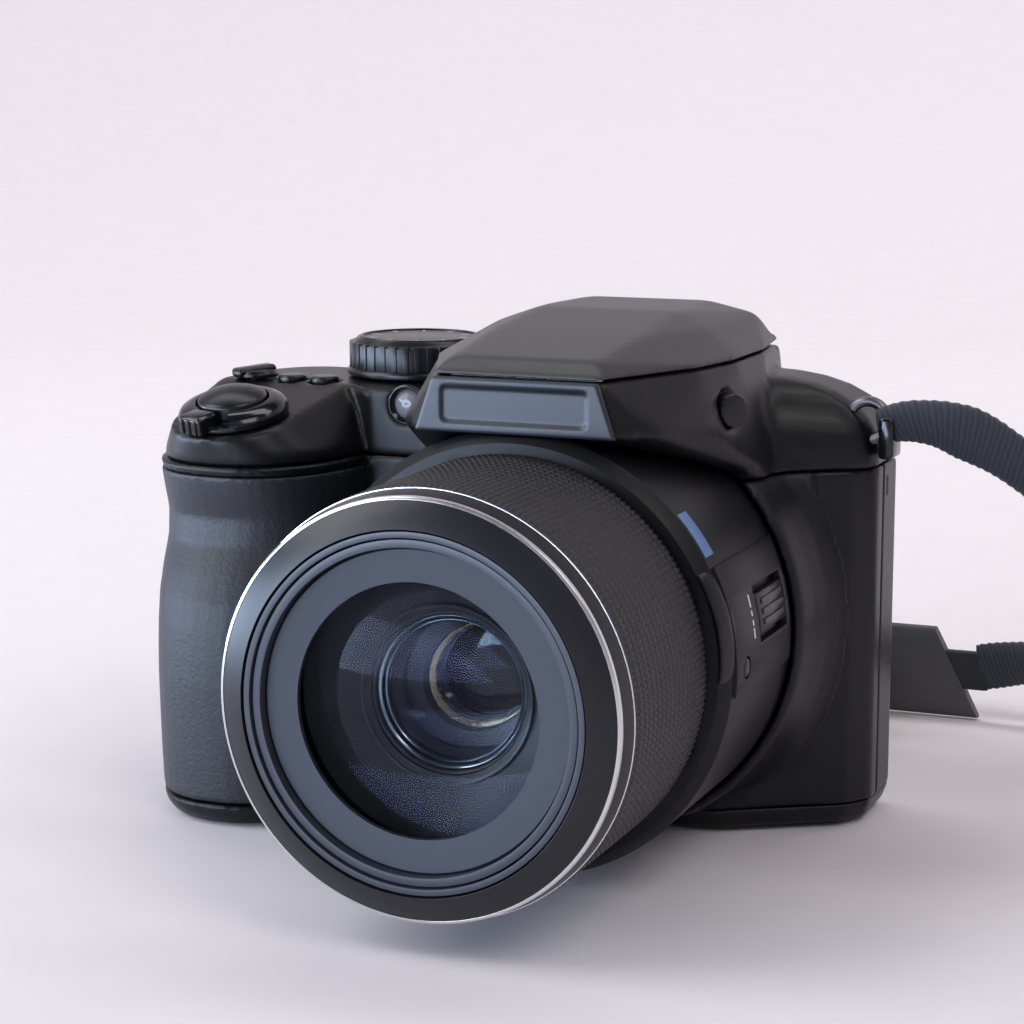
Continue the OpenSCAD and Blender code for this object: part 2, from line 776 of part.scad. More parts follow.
module lens_housing() {
    boss_r = rear_lens_r + 1.6;
    color("#1c1c1f") intersection() {
        on_lens() translate([0, 0, panel_h - wall - flange_t]) ring(seat_r + flange_out, lip_r + 0.5, flange_t);
        translate([panel_bend - 1 - BIG, -BIG / 2, 0]) cube(BIG);
    }
    color("#1c1c1f") on_lens() turned([
        [lip_r, ring_back + 1], [housing_r, ring_back + 1], [housing_r, housing_back],
        [rear_lens_r - 1, housing_back], [rear_lens_r - 1, housing_back + housing_floor],
        [rear_lens_r + SKIN, housing_back + housing_floor], [rear_lens_r + SKIN, 8], [boss_r, 8],
        [boss_r, housing_back + housing_floor], [lip_r, housing_back + housing_floor]
    ]);
}

module rear_lens_group() {
    bulge = 14;
    front = 9;
    color("#3b4a55") on_lens() intersection() {
        translate([0, 0, housing_back + housing_floor]) cylinder(r = rear_lens_r, h = 2 * rear_lens_r);
        translate([0, 0, front - bulge]) sphere(r = bulge);
    }
}

module image_sensor() {
    color("#2f5d3a") translate([-sensor_w / 2, -housing_back, lens_z - sensor_h / 2])
        cube([sensor_w, sensor_t, sensor_h]);
}

module main_board() {
    color("#1f5b35") translate([board_left, sensor_t - housing_back, board_low])
        cube([board_w, board_t, board_h]);
}

// Lens, moving part

module zoom_tube(r, t, front, back_lip) {
    on_lens() turned([
        [r - t, front], [r, front], [r, front - tube_len], [r - t - back_lip, front - tube_len],
        [r - t - back_lip, front - tube_len + 1], [r - t, front - tube_len + 1]
    ]);
}

module zoom_tube_outer() { color("#232327") zoom_tube(outer_tube_r, outer_tube_t, tube_front, 0.1); }

module zoom_tube_inner() { color("#232327") zoom_tube(inner_tube_r, inner_tube_t, tube_front - 0.5, 0.4); }

module front_bezel() {
    color("#4a5262") on_lens() turned([
        [bezel_r, bezel_h - 0.3], [cell_r - 0.4, bezel_h], [cell_r, bezel_h - 0.4], [cell_r, bezel_h - 2.5],
        [bezel_r, bezel_h - 1.2]
    ]);
}

module front_lens() {
    apex = bezel_h - 1.5;
    color("#39424f") on_lens() intersection() {
        translate([0, 0, lens_seat_h]) cylinder(r = front_lens_r, h = front_lens_r);
        translate([0, 0, apex - front_lens_curve]) sphere(r = front_lens_curve);
    }
}

module lens_baffle() {
    color("#121214") on_lens() turned([
        [cell_r, bezel_h - 2.5], [front_lens_r + SKIN, bezel_h - 2.5], [front_lens_r + SKIN, lens_seat_h],
        [front_lens_r - 1.5, lens_seat_h], [inner_lens_r + SKIN, inner_seat_h],
        [inner_lens_r + SKIN, inner_seat_h - inner_len], [inner_lens_r - 1, inner_seat_h - inner_len],
        [inner_lens_r - 1, inner_seat_h - inner_len - 1.5], [cell_r, inner_seat_h - inner_len - 1.5]
    ]);
}

module inner_lens() {
    bulge = 24;
    color("#2f3542") on_lens() intersection() {
        translate([0, 0, inner_seat_h - inner_len]) cylinder(r = inner_lens_r, h = inner_lens_r);
        translate([0, 0, inner_seat_h - 0.4 - bulge]) sphere(r = bulge);
    }
}

// Rear of the body

module lcd_panel() {
    color("#15161a") on_rear(lcd_at) translate([0, 0, -lcd_t - 3.4]) linear_extrude(3.4)
        rounded_square([lcd_w - 3, lcd_h - 3], 1);
}

module lcd_window() {
    color("#0c0d10") on_rear(lcd_at) translate([0, 0, -lcd_t]) linear_extrude(lcd_t)
        rounded_square([lcd_w - 0.2, lcd_h - 0.2], 2);
}

module viewfinder_module() {
    color("#1a1a1d") on_rear([0, eye_z]) translate([0, 0, -finder_len - 1]) linear_extrude(finder_len)
        rounded_square(2 * [eye_half_w - 0.2, eye_half_h - 0.2], 2);
}

module eyepiece_lens() {
    color("#39424f") on_rear([0, eye_z]) translate([0, 0, -1]) linear_extrude(2.6)
        rounded_square(2 * [eye_half_w - 0.2, eye_half_h - 0.2], 2);
}

module eyecup() {
    color("#1d1d20") on_rear([0, eye_z]) difference() {
        union() {
            linear_extrude(eyecup_len - 1) rounded_square([eyecup_w - 2.4, eyecup_h - 1.6], 4);
            translate([0, 0, eyecup_len - 2.6]) linear_extrude(2.6) rounded_square([eyecup_w, eyecup_h], 4.6);
        }
        translate([0, 0, -1]) linear_extrude(BIG) rounded_square(2 * [eye_half_w, eye_half_h], 2);
        translate([0, 0, 3.2]) linear_extrude(BIG) rounded_square([eyecup_w - 5, eyecup_h - 3.8], 3);
    }
}

// Power and storage

module at_cells() {
    for (x = [-0.5, 0.5]) for (y = [-0.5, 0.5])
        translate([grip_cx + x * cell_pitch, block_cy + y * cell_pitch, 0]) children();
}

module battery_chamber() {
    color("#303036") difference() {
        chamber_block(0);
        at_cells() translate([0, 0, -1]) cylinder(r = cell_d / 2 + cell_fit, h = cell_low + cell_len + 1);
        contact_strips(SKIN);
        translate([grip_cx - card_w / 2 - 0.1, card_y - 0.1, -1])
            cube([card_w + 0.2, card_t + 0.2, cell_low + card_len + 1]);
    }
}

module battery_cells() {
    color("#b9a04a") at_cells() translate([0, 0, cell_low]) {
        cylinder(r = cell_d / 2, h = cell_len - 1.5);
        cylinder(r = 2.7, h = cell_len - 0.5);
    }
}

// Strips that join the cells in pairs, under the chamber's roof
module contact_strips(grow) {
    across = contact_w + 2 * grow;
    along_y = cell_pitch + 2 * contact_over + 2 * grow;
    for (x = [-0.5, 0.5])
        translate([grip_cx + x * cell_pitch - across / 2, block_cy - along_y / 2, cell_low + cell_len - contact_t - grow])
            cube([across, along_y, contact_t + grow]);
}

module battery_contacts() { color("#c9c9cc") contact_strips(0); }

module memory_card() {
    color("#1d3558") translate([grip_cx - card_w / 2, card_y, cell_low]) difference() {
        cube([card_w, card_t, card_len]);
        translate([card_w, -1, card_len]) rotate([0, 45, 0]) cube([6, 6, 6], center = true);
    }
}

// Pin of the battery door, along Y
module door_pin(r, half) {
    translate([door_hinge_x, door_hinge_y - half, door_hinge_z]) rotate([-90, 0, 0])
        cylinder(r = r, h = 2 * half);
}

module battery_door() {
    color("#202024") {
        difference() {
            intersection() {
                grip_body(0, concat(foot_levels, [foot_r, base_t - 0.2]));
                translate([-BIG, -BIG / 2, -1]) cube([BIG + base_split_x - gap, BIG, BIG]);
            }
            translate([grip_cx - 9, block_cy - 4, -0.4]) cube([18, 8, 0.8]);
        }
        translate([base_split_x - gap - 1, door_hinge_y - door_leaf_half, door_hinge_z - door_pin_r])
            cube([door_hinge_x - base_split_x + gap + 1, 2 * door_leaf_half, 2 * door_pin_r]);
        door_pin(door_pin_r, door_pin_half);
    }
}

module tripod_bush() {
    color("#c8c8cc") difference() {
        cylinder(r = bush_r - SKIN, h = tripod_depth + 1);
        translate([0, 0, -1]) cylinder(r = tripod_r, h = tripod_depth + 1);
    }
}

module strap_lugs() {
    color("#8d8d92") for (at = [lug_left, lug_right])
        translate(at) rotate([90, 0, 0]) rotate_extrude() translate([lug_r, 0]) circle(r = lug_wire);
}

module focus_lamp() {
    color("#8a4a2a") translate([lamp_at.x, 2 - panel_h, lamp_at.y]) rotate([90, 0, 0])
        cylinder(r = lamp_r - SKIN, h = 1.5);
}

module screws() {
    color("#57575c") for (at = base_screws) translate([at.x, at.y, 0.2]) {
        cylinder(r = screw_r, h = 1);
        cylinder(r = screw_r * 0.6 - SKIN, h = base_t - 0.2);
    }
}

// Flash

lid_ridges = [
    [brow_half - 2, 4 - brow_h, lid_z + 0.6], [brow_half - 1, 21 - brow_h, lid_z + 2.6],
    [brow_half - 1.6, 42 - brow_h, roof_z - 2], [brow_half - 3.4, lid_rear_y - 3, roof_z - 2],
    [lid_half - 6.6, lid_rear_y - 4, lid_z + 3.2], [lid_half - 7.4, 38 - brow_h, lid_z + 2.8]
];

module lid_form(inset) {
    intersection() {
        hull() {
            intersection() {
                translate([0, 0, lid_z]) linear_extrude(0.4) offset(delta = -inset) polygon(lid_plan);
                half_space_y(-BIG, lid_rear_y - inset);
            }
            for (p = lid_ridges) for (side = [-1, 1])
                translate([side * p.x, p.y, p.z]) sphere(r = 2 - inset, $fn = 16);
        }
        translate([-BIG / 2, -BIG / 2, lid_z]) cube(BIG);
    }
}

// The room below the lid's skin, carried on down so that it opens cleanly
module lid_room() {
    hull() {
        translate([0, 0, 1]) lid_form(lid_t);
        lid_form(lid_t);
    }
}

// A rod along the flash hinge, from one x to another
module hinge_rod(r, low, high) {
    translate([low, hinge_y, hinge_z]) rotate([0, 90, 0]) cylinder(r = r, h = high - low);
}

module flash_lid() {
    ear_room = ear_r + 1.5 * gap;
    color("#57534f") difference() {
        lid_form(0);
        difference() {
            intersection() {
                translate([0, 0, -1]) lid_room();
                half_space_y(lid_solid_y, BIG);
            }
            hinge_rod(knuckle_r, -knuckle_half, knuckle_half);
        }
        hinge_rod(hinge_pin_r + shaft_fit, -BIG, BIG);
        for (low = [-hinge_half - gap, knuckle_half]) {
            hinge_rod(ear_room, low, low + ear_t + 2 * gap);
            translate([low, hinge_y - ear_room, lid_z - 1]) cube([ear_t + 2 * gap, BIG, hinge_z - lid_z + 1]);
        }
    }
}

module flash_hinge_pin() {
    color("#c8c8cc") hinge_rod(hinge_pin_r, -hinge_half, hinge_half);
}

module flash_reflector() {
    color("#b9bbc0") difference() {
        translate([-head_half, -head_front, lid_z - head_depth]) cube([2 * head_half, head_len, head_depth]);
        translate([-head_half + 1, -head_front - 1, lid_z - head_depth + 0.8])
            cube([2 * head_half - 2, head_len - 2, head_depth - 1.6]);
    }
}

module flash_window() {
    color("#dfe4ea") translate([-head_half + 1.1, -head_front + 0.2, lid_z - head_depth + 0.9])
        cube([2 * head_half - 2.2, 1.6, head_depth - 1.8]);
}

module flash_tube() {
    color("#f0f0f0") translate([-head_half + 1, head_len - 5 - head_front, lid_z - head_depth / 2])
        rotate([0, 90, 0]) cylinder(r = 1.1, h = 2 * head_half - 2);
}

// Controls

module mode_dial() {
    color("#2a2a2e") translate([dial_at.x, dial_at.y, 0]) {
        translate([0, 0, deck_z + 2 * gap]) linear_extrude(dial_t - 0.8) ribbed(dial_r, 0.6, dial_ribs);
        translate([0, 0, deck_z + 2 * gap + dial_t - 0.9])
            cylinder(r1 = dial_r - 0.6, r2 = dial_r - 1.5, h = 0.9);
        translate([0, 0, deck_z - 7.5]) cylinder(r = 3, h = 8.5);
    }
}

module command_dial() {
    color("#2a2a2e") translate([command_at.x, command_at.y, command_low]) {
        linear_extrude(command_t) ribbed(command_r, 0.4, 30);
        translate([0, 0, -1.4]) cylinder(r = 1.5, h = command_t + 2.8);
    }
}

module power_switch() {
    color("#2a2a2e") translate([switch_at.x, switch_at.y, 0]) {
        translate([0, 0, deck_z + gap]) cylinder(r = switch_r, h = 1.5);
        translate([0, 0, deck_z + gap + 0.5]) rotate(-35) translate([-0.9, -switch_r - 1, 0])
            cube([1.8, 2 * switch_r + 0.8, 2]);
        translate([0, 0, deck_z - 3.6]) cylinder(r = 1.6, h = 4.5);
    }
}

module zoom_lever() {
    color("#1c1c20") on_shutter() {
        translate([0, 0, gap]) ring(lever_r, shutter_r + gap, lever_t);
        rotate(lever_turn) translate([lever_r - 2, -lever_tab.y / 2, gap]) cube(lever_tab);
    }
}

module shutter_button() {
    dome = 12;
    color("#3a3a40") on_shutter() intersection() {
        translate([0, 0, -1.2]) cylinder(r = shutter_r, h = 12);
        translate([0, 0, 5.2 - dome]) sphere(r = dome);
    }
}

module button(r, sink, out) {
    translate([0, 0, -sink]) cylinder(r = r, h = sink + out - 0.3);
    translate([0, 0, out - 0.3]) cylinder(r1 = r, r2 = r - 0.4, h = 0.3);
}

module top_button(at) {
    color("#34343a") translate([at.x, at.y, deck_z]) button(top_button_r, button_sink, button_out);
}

module exposure_button() { top_button(top_buttons[0]); }

module burst_button() { top_button(top_buttons[1]); }

module flash_button() { color("#38383e") on_flash_button() button(flash_button_r, 2.2, button_out + 0.4); }

module zoom_rocker() {
    low = rocker_floor + gap;
    color("#303036") on_lens() rotate(rocker_angle - rocker_half)
        rotate_extrude(angle = 2 * rocker_half)
        polygon([
            [low, rocker_h[0]], [low + rocker_t, rocker_h[0]], [low + rocker_t, rocker_h[1]], [low, rocker_h[1]]
        ]);
}

module collar_button() {
    color("#303036") translate([collar_r, -small_button_h, lens_z]) rotate([0, 90, 0])
        button(small_button_r, 1.6, 0.6);
}

module rear_button(at, r) { color("#34343a") on_rear(at) button(r, button_sink, button_out); }

module movie_button() { rear_button(movie_at, rear_button_r + 0.4); }

module playback_button() { rear_button(play_at, rear_button_r); }

module display_button() { rear_button(display_at, rear_button_r); }

module finder_button() { rear_button(finder_at, rear_button_r); }

module four_way_pad() {
    color("#34343a") on_rear(pad_at) difference() {
        button(pad_r, button_sink, button_out);
        translate([0, 0, -BIG / 2]) cylinder(r = ok_r + gap, h = BIG);
    }
}

module ok_button() { rear_button(pad_at, ok_r); }

module dioptre_wheel() {
    color("#2a2a2e") on_rear(dioptre_at) {
        translate([0, 0, gap]) linear_extrude(2) ribbed(dioptre_r, 0.3, 20);
        translate([0, 0, -3.7]) cylinder(r = 1.2, h = 5);
    }
}

// Strap

fold_left = -44;
fold_right = 18;
fold_end = [46, -50];
fold_z = 9.3;
fold_y = 86;
fold_last_y = fold_y - fold_pitch * (fold_runs - 1);
// Route of the webbing from the left lug, out to the right and back to the neck pad
left_route = [
    [44, 9, 68.7], [46.6, 9, 69.2], [50, 9, 69.6], [55, 9.5, 69], [61, 11, 66.5], [68, 13, 62], [76, 17, 56],
    [85, 23, 47], [93, 32, 36], [98, 43, 26], [98, 55, 19], [92, 66, 15.8], [82, 76, 14.4], [70, 82, 14],
    [57, 85, 12.8], [46, 86, 10.7]
];
// Route of the webbing from the folded neck pad up to the right lug
right_route = [
    [fold_end[1], fold_last_y, fold_z], [-57, 33, 10], [-64, 34, 13], [-71, 35, 20], [-77, 34.5, 30], [-81.5, 32, 41],
    [-84.5, 27, 51], [-85, 19.5, 58.5], [-83, 11, 63.5], [-79.6, 5, 65.5]
];
turn_steps = 8;

// The neck pad goes to and fro in runs that are joined by half turns, the last run ending on the left
function fold_turn(run) =
    let (leftward = run % 2 == 0, middle = leftward ? fold_left : fold_right)
    [for (i = [0:turn_steps])
        let (a = 180 * i / turn_steps)
        [middle + (leftward ? -1 : 1) * fold_pitch / 2 * sin(a),
         fold_y - fold_pitch * (run + 0.5) + fold_pitch / 2 * cos(a), fold_z]];
neck_route = concat(
    [[fold_end[0], fold_y, fold_z], [fold_end[0] - 6, fold_y, fold_z], [fold_right, fold_y, fold_z]],
    [for (run = [0:fold_runs - 2]) each fold_turn(run)],
    [[fold_end[1], fold_last_y, fold_z]]
);

// Least gap between the folded pad's runs, measured on points along its route
fold_reach = turn_steps + 1;
fold_gap = min([for (i = [0:len(neck_route) - 1]) for (j = [i + fold_reach:1:len(neck_route) - 1])
    norm(neck_route[i] - neck_route[j])]) - neck_t;
echo(least_gap_between_folds = fold_gap);

function unit(v) = v / norm(v);
function along(path, i) = unit(path[min(i + 1, len(path) - 1)] - path[max(i - 1, 0)]);

// One closed band: flat sides, rounded edges, standing with its width upright
module band(path, widths, t) {
    shape = [[-0.5, -0.42], [-0.3, -0.5], [0.3, -0.5], [0.5, -0.42], [0.5, 0.42], [0.3, 0.5], [-0.3, 0.5],
        [-0.5, 0.42]];
    n = len(shape);
    last = len(path) - 1;
    points = [for (i = [0:last]) let (f = along(path, i), s = unit(cross(f, [0, 0, 1])), u = cross(s, f))
        for (p = shape) path[i] + s * t * p.x + u * widths[i] * p.y];
    sides = [for (k = [0:last - 1]) for (i = [0:n - 1])
        let (a = k * n + i, b = a + n, c = (k + 1) * n + (i + 1) % n, d = k * n + (i + 1) % n)
        each [[a, c, b], [a, d, c]]];
    polyhedron(points, concat(sides, [[for (i = [n - 1:-1:0]) i], [for (i = [0:n - 1]) last * n + i]]));
}

module strap_left() {
    color("#1b2230") band(left_route, [for (p = left_route) web_w], web_t);
}

module strap_neck_pad() {
    last = len(neck_route) - 1;
    color("#2e2e33") band(neck_route, [for (i = [0:last]) i == 0 || i == last ? web_w : neck_w], neck_t);
}

module strap_right() {
    color("#1b2230") band(right_route, [for (p = right_route) web_w], web_t);
}

top_cover();
front_cover();
rear_cover();
base_cover();
grip_rubber();
thumb_rest();
front_plate();
lens_collar();
ribbed_sleeve();
front_ring();
lens_housing();
rear_lens_group();
image_sensor();
main_board();
lcd_panel();
lcd_window();
viewfinder_module();
eyepiece_lens();
eyecup();
battery_chamber();
battery_cells();
battery_contacts();
memory_card();
tripod_bush();
strap_lugs();
focus_lamp();
flash_hinge_pin();
screws();
zoom_tube_outer();
zoom_tube_inner();
front_bezel();
front_lens();
lens_baffle();
inner_lens();
flash_lid();
flash_reflector();
flash_window();
flash_tube();
mode_dial();
command_dial();
power_switch();
zoom_lever();
shutter_button();
exposure_button();
burst_button();
flash_button();
zoom_rocker();
collar_button();
movie_button();
playback_button();
display_button();
finder_button();
four_way_pad();
ok_button();
dioptre_wheel();
battery_door();
terminal_cover();
strap_left();
strap_neck_pad();
strap_right();
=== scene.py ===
# %% [markdown]
# # A bridge camera, dressed round its CAD frame
# The CAD model fixes every size and every joint. This script loads it, adds the looks that a photograph
# shows (rounded mouldings, rubber, glass, webbing) and leaves each piece riding on the body that carries
# it.

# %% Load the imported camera
import json
import math

import bmesh
import bpy
from mathutils import Matrix, Vector


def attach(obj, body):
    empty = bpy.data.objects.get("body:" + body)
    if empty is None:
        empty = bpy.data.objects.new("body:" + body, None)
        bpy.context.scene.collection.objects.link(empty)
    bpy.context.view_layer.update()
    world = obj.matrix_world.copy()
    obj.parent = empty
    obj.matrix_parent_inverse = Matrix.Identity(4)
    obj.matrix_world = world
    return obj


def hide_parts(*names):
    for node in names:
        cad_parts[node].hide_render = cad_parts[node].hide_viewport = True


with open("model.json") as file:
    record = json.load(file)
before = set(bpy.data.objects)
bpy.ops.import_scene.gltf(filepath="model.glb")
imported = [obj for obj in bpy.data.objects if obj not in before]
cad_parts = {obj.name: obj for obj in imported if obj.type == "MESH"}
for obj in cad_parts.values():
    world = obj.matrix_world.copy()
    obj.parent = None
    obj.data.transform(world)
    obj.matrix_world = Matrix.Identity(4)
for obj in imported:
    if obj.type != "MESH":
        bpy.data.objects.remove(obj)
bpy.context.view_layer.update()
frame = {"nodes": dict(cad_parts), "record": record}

MM = 0.001
scene = bpy.context.scene
node_body = {n: body for body, nodes in frame["record"]["behaviour"]["bodies"].items() for n in nodes}
node_slot = {s["node"]: s["material_slot"] for s in frame["record"]["subparts"]}

# %% [markdown]
# ## The camera that looks at the camera
# A long lens from a short distance in front, a little to the object's left and a little above it. The focal
# length is given in pixels of a square picture, which Blender wants as millimetres on its 36 mm sensor.

# %% Viewpoint
PICTURE_PIXELS = 1024.0
FOCAL_PIXELS = 2600.0
VIEW_FROM = Vector((147.4, -407.9, 129.5)) * MM
VIEW_TO = Vector((-18.0, 0.0, 51.4)) * MM

lens_data = bpy.data.cameras.new("viewpoint")
lens_data.sensor_width = 36.0
lens_data.lens = lens_data.sensor_width * FOCAL_PIXELS / PICTURE_PIXELS
viewpoint = bpy.data.objects.new("viewpoint", lens_data)
viewpoint.location = VIEW_FROM
viewpoint.rotation_euler = (VIEW_TO - VIEW_FROM).to_track_quat("-Z", "Y").to_euler()
scene.collection.objects.link(viewpoint)
scene.camera = viewpoint
print("viewpoint", round((VIEW_TO - VIEW_FROM).length, 3), "m away, lens", round(lens_data.lens, 1), "mm")

# %% [markdown]
# ## Small helpers for finishes
# Every finish is one Principled shader. Noise on Object coordinates gives moulded plastic its fine grain,
# so the pattern stays put on each piece and has the same scale everywhere.

# %% Finish helpers
def new_finish(name):
    material = bpy.data.materials.new(name)
    material.use_nodes = True
    tree = material.node_tree
    return material, tree, tree.nodes["Principled BSDF"]


def texture(tree, kind, size, vector=None, **settings):
    """A texture node whose features are about `size` metres across."""
    node = tree.nodes.new(kind)
    node.inputs["Scale"].default_value = 1.0 / size
    for key, value in settings.items():
        if key in node.inputs:
            node.inputs[key].default_value = value
        else:
            setattr(node, key, value)
    if vector is None:
        vector = tree.nodes.new("ShaderNodeTexCoord").outputs["Object"]
    tree.links.new(vector, node.inputs["Vector"])
    return node


def blend_colours(tree, factor, dark, light):
    mix = tree.nodes.new("ShaderNodeMix")
    mix.data_type = "RGBA"
    tree.links.new(factor, mix.inputs["Factor"])
    mix.inputs[6].default_value = (*dark, 1.0)
    mix.inputs[7].default_value = (*light, 1.0)
    return mix.outputs[2]


def spread_value(tree, value, low, high):
    span = tree.nodes.new("ShaderNodeMapRange")
    tree.links.new(value, span.inputs["Value"])
    span.inputs["To Min"].default_value = low
    span.inputs["To Max"].default_value = high
    return span.outputs["Result"]


def add_bump(tree, shader, height, strength, depth):
    bump = tree.nodes.new("ShaderNodeBump")
    bump.inputs["Strength"].default_value = strength
    bump.inputs["Distance"].default_value = depth
    tree.links.new(height, bump.inputs["Height"])
    tree.links.new(bump.outputs["Normal"], shader.inputs["Normal"])


def moulded(name, colour, roughness, grain=0.35 * MM, strength=0.25, variation=0.12, **sockets):
    """Moulded plastic or paint: uneven in colour by a little, with a fine grain that breaks up the gloss."""
    material, tree, shader = new_finish(name)
    broad = texture(tree, "ShaderNodeTexNoise", 14 * MM, Detail=3.0)
    fine = texture(tree, "ShaderNodeTexNoise", grain, Detail=3.0)
    dark = [c * (1.0 - variation) for c in colour]
    light = [c * (1.0 + variation) for c in colour]
    tree.links.new(blend_colours(tree, broad.outputs["Fac"], dark, light), shader.inputs["Base Color"])
    rough = spread_value(tree, fine.outputs["Fac"], roughness - 0.06, roughness + 0.06)
    tree.links.new(rough, shader.inputs["Roughness"])
    add_bump(tree, shader, fine.outputs["Fac"], strength, 0.05 * MM)
    for key, value in sockets.items():
        shader.inputs[key.replace("_", " ")].default_value = value
    return material


def pebbled(name, colour, roughness, cell, depth):
    """Grained rubber or leather: small rounded cells, paler on top than in the valleys between them."""
    material, tree, shader = new_finish(name)
    cells = texture(tree, "ShaderNodeTexVoronoi", cell, feature="SMOOTH_F1", Randomness=0.9)
    broad = texture(tree, "ShaderNodeTexNoise", 12 * MM, Detail=3.0)
    fine = texture(tree, "ShaderNodeTexNoise", cell * 0.35, Detail=2.0)
    height = tree.nodes.new("ShaderNodeMath")
    height.operation = "MULTIPLY_ADD"
    height.inputs[1].default_value = -1.0
    tree.links.new(cells.outputs["Distance"], height.inputs[0])
    tree.links.new(fine.outputs["Fac"], height.inputs[2])
    low = [c * 0.8 for c in colour]
    high = [c * 1.2 for c in colour]
    tree.links.new(blend_colours(tree, broad.outputs["Fac"], low, high), shader.inputs["Base Color"])
    rough = spread_value(tree, fine.outputs["Fac"], roughness - 0.08, roughness + 0.08)
    tree.links.new(rough, shader.inputs["Roughness"])
    add_bump(tree, shader, height.outputs["Value"], 0.6, depth)
    return material


def bright_metal(name, colour, roughness):
    material, tree, shader = new_finish(name)
    brushed = texture(tree, "ShaderNodeTexNoise", 0.8 * MM, Detail=4.0)
    rough = spread_value(tree, brushed.outputs["Fac"], roughness * 0.7, roughness * 1.4)
    tree.links.new(rough, shader.inputs["Roughness"])
    tone = blend_colours(tree, brushed.outputs["Fac"], [c * 0.92 for c in colour], colour)
    tree.links.new(tone, shader.inputs["Base Color"])
    shader.inputs["Metallic"].default_value = 1.0
    return material


def clear_glass(name, tint, coating):
    """Optical glass. The coating colours what it reflects, as an anti-reflection layer does."""
    material, tree, shader = new_finish(name)
    faint = texture(tree, "ShaderNodeTexNoise", 8 * MM, Detail=2.0)
    tone = blend_colours(tree, faint.outputs["Fac"], [c * 0.96 for c in tint], tint)
    tree.links.new(tone, shader.inputs["Base Color"])
    shader.inputs["Roughness"].default_value = 0.02
    shader.inputs["IOR"].default_value = 1.5
    shader.inputs["Transmission Weight"].default_value = 1.0
    shader.inputs["Specular Tint"].default_value = (*coating, 1.0)
    return material


# %% [markdown]
# ## The finishes of this camera
# One finish per material slot of the record. The black is never quite black: moulded covers have a bluish
# grey sheen, the flash lid a warmer grey, the grip rubber a soft dark blue-grey.

# %% Finishes by slot
finishes = {
    "body_plastic": moulded("moulded_black", (0.005, 0.005, 0.006), 0.36, Specular_IOR_Level=0.28),
    "grip_rubber": pebbled("grip_rubber", (0.011, 0.0125, 0.017), 0.50, 0.7 * MM, 0.10 * MM),
    "front_plate": moulded("front_plate_black", (0.014, 0.015, 0.019), 0.36, strength=0.12),
    "sleeve_plastic": moulded("ribbed_black", (0.018, 0.018, 0.021), 0.5, strength=0.3),
    "gloss_black": moulded("polished_black", (0.006, 0.006, 0.008), 0.13, strength=0.03),
    "inner_black": moulded("flocked_black", (0.005, 0.005, 0.006), 0.6),
    "bezel_slate": moulded("bezel_slate", (0.015, 0.018, 0.030), 0.42, strength=0.1),
    "lens_glass": clear_glass("coated_glass", (0.84, 0.87, 0.90), (0.065, 0.065, 0.105)),
    "circuit": moulded("circuit_board", (0.03, 0.13, 0.06), 0.45),
    "screen": moulded("screen_black", (0.006, 0.006, 0.008), 0.1, strength=0.01),
    "steel": bright_metal("plain_steel", (0.62, 0.62, 0.65), 0.28),
    "cell_sleeve": bright_metal("cell_sleeve", (0.55, 0.42, 0.14), 0.3),
    "card": moulded("card_blue", (0.02, 0.05, 0.14), 0.35),
    "lamp": moulded("lamp_window", (0.16, 0.155, 0.17), 0.12, strength=0.02),
    "flash_clear": clear_glass("flash_glass", (0.93, 0.95, 0.97), (1.0, 1.0, 1.0)),
    "lid_plastic": moulded("lid_grey", (0.028, 0.027, 0.027), 0.40),
    "control_plastic": moulded("control_black", (0.005, 0.005, 0.006), 0.30, Specular_IOR_Level=0.4),
    "webbing": moulded("webbing_navy", (0.010, 0.013, 0.024), 0.75),
    "pad_leather": pebbled("pad_leather", (0.060, 0.060, 0.068), 0.55, 0.9 * MM, 0.12 * MM),
}
chrome = bright_metal("ring_chrome", (0.72, 0.72, 0.74), 0.18)
cool_metal = bright_metal("cool_ring_metal", (0.42, 0.56, 0.70), 0.2)
gold_metal = bright_metal("gold_ring_metal", (0.50, 0.42, 0.26), 0.25)
gunmetal = bright_metal("lug_gunmetal", (0.17, 0.17, 0.18), 0.35)
baffle_slate = moulded("baffle_slate", (0.015, 0.018, 0.024), 0.5, strength=0.1)
ring_black = moulded("ring_black", (0.008, 0.008, 0.010), 0.32, Specular_IOR_Level=0.4)
collar_black = moulded("collar_black", (0.005, 0.005, 0.006), 0.42, Specular_IOR_Level=0.25)
tube_satin = moulded("tube_satin", (0.030, 0.033, 0.045), 0.36, strength=0.1)
print_white = moulded("printed_white", (0.70, 0.70, 0.72), 0.5, strength=0.05)
print_blue = moulded("printed_blue", (0.11, 0.20, 0.44), 0.4, strength=0.05)

for node, cad_object in frame["nodes"].items():
    cad_object.data.materials.clear()
    cad_object.data.materials.append(finishes[node_slot[node]])
frame["nodes"]["strap_lugs"].data.materials[0] = gunmetal
frame["nodes"]["lens_baffle"].data.materials[0] = baffle_slate
print(len(finishes), "finishes on", len(frame["nodes"]), "nodes")

# %% [markdown]
# ## Floor and light
# A pale bowl: a flat floor that curls up into a wall all round, so no view has a hard horizon or is shut
# out by the wall. The light comes from the front left: a high window, a lower and weaker one, and a cool
# glow from the table, so what faces left and forward shines. A weak lamp on the right keeps that side
# readable. The lamp over the wall behind lights the backdrop, which is what the upper faces reflect.

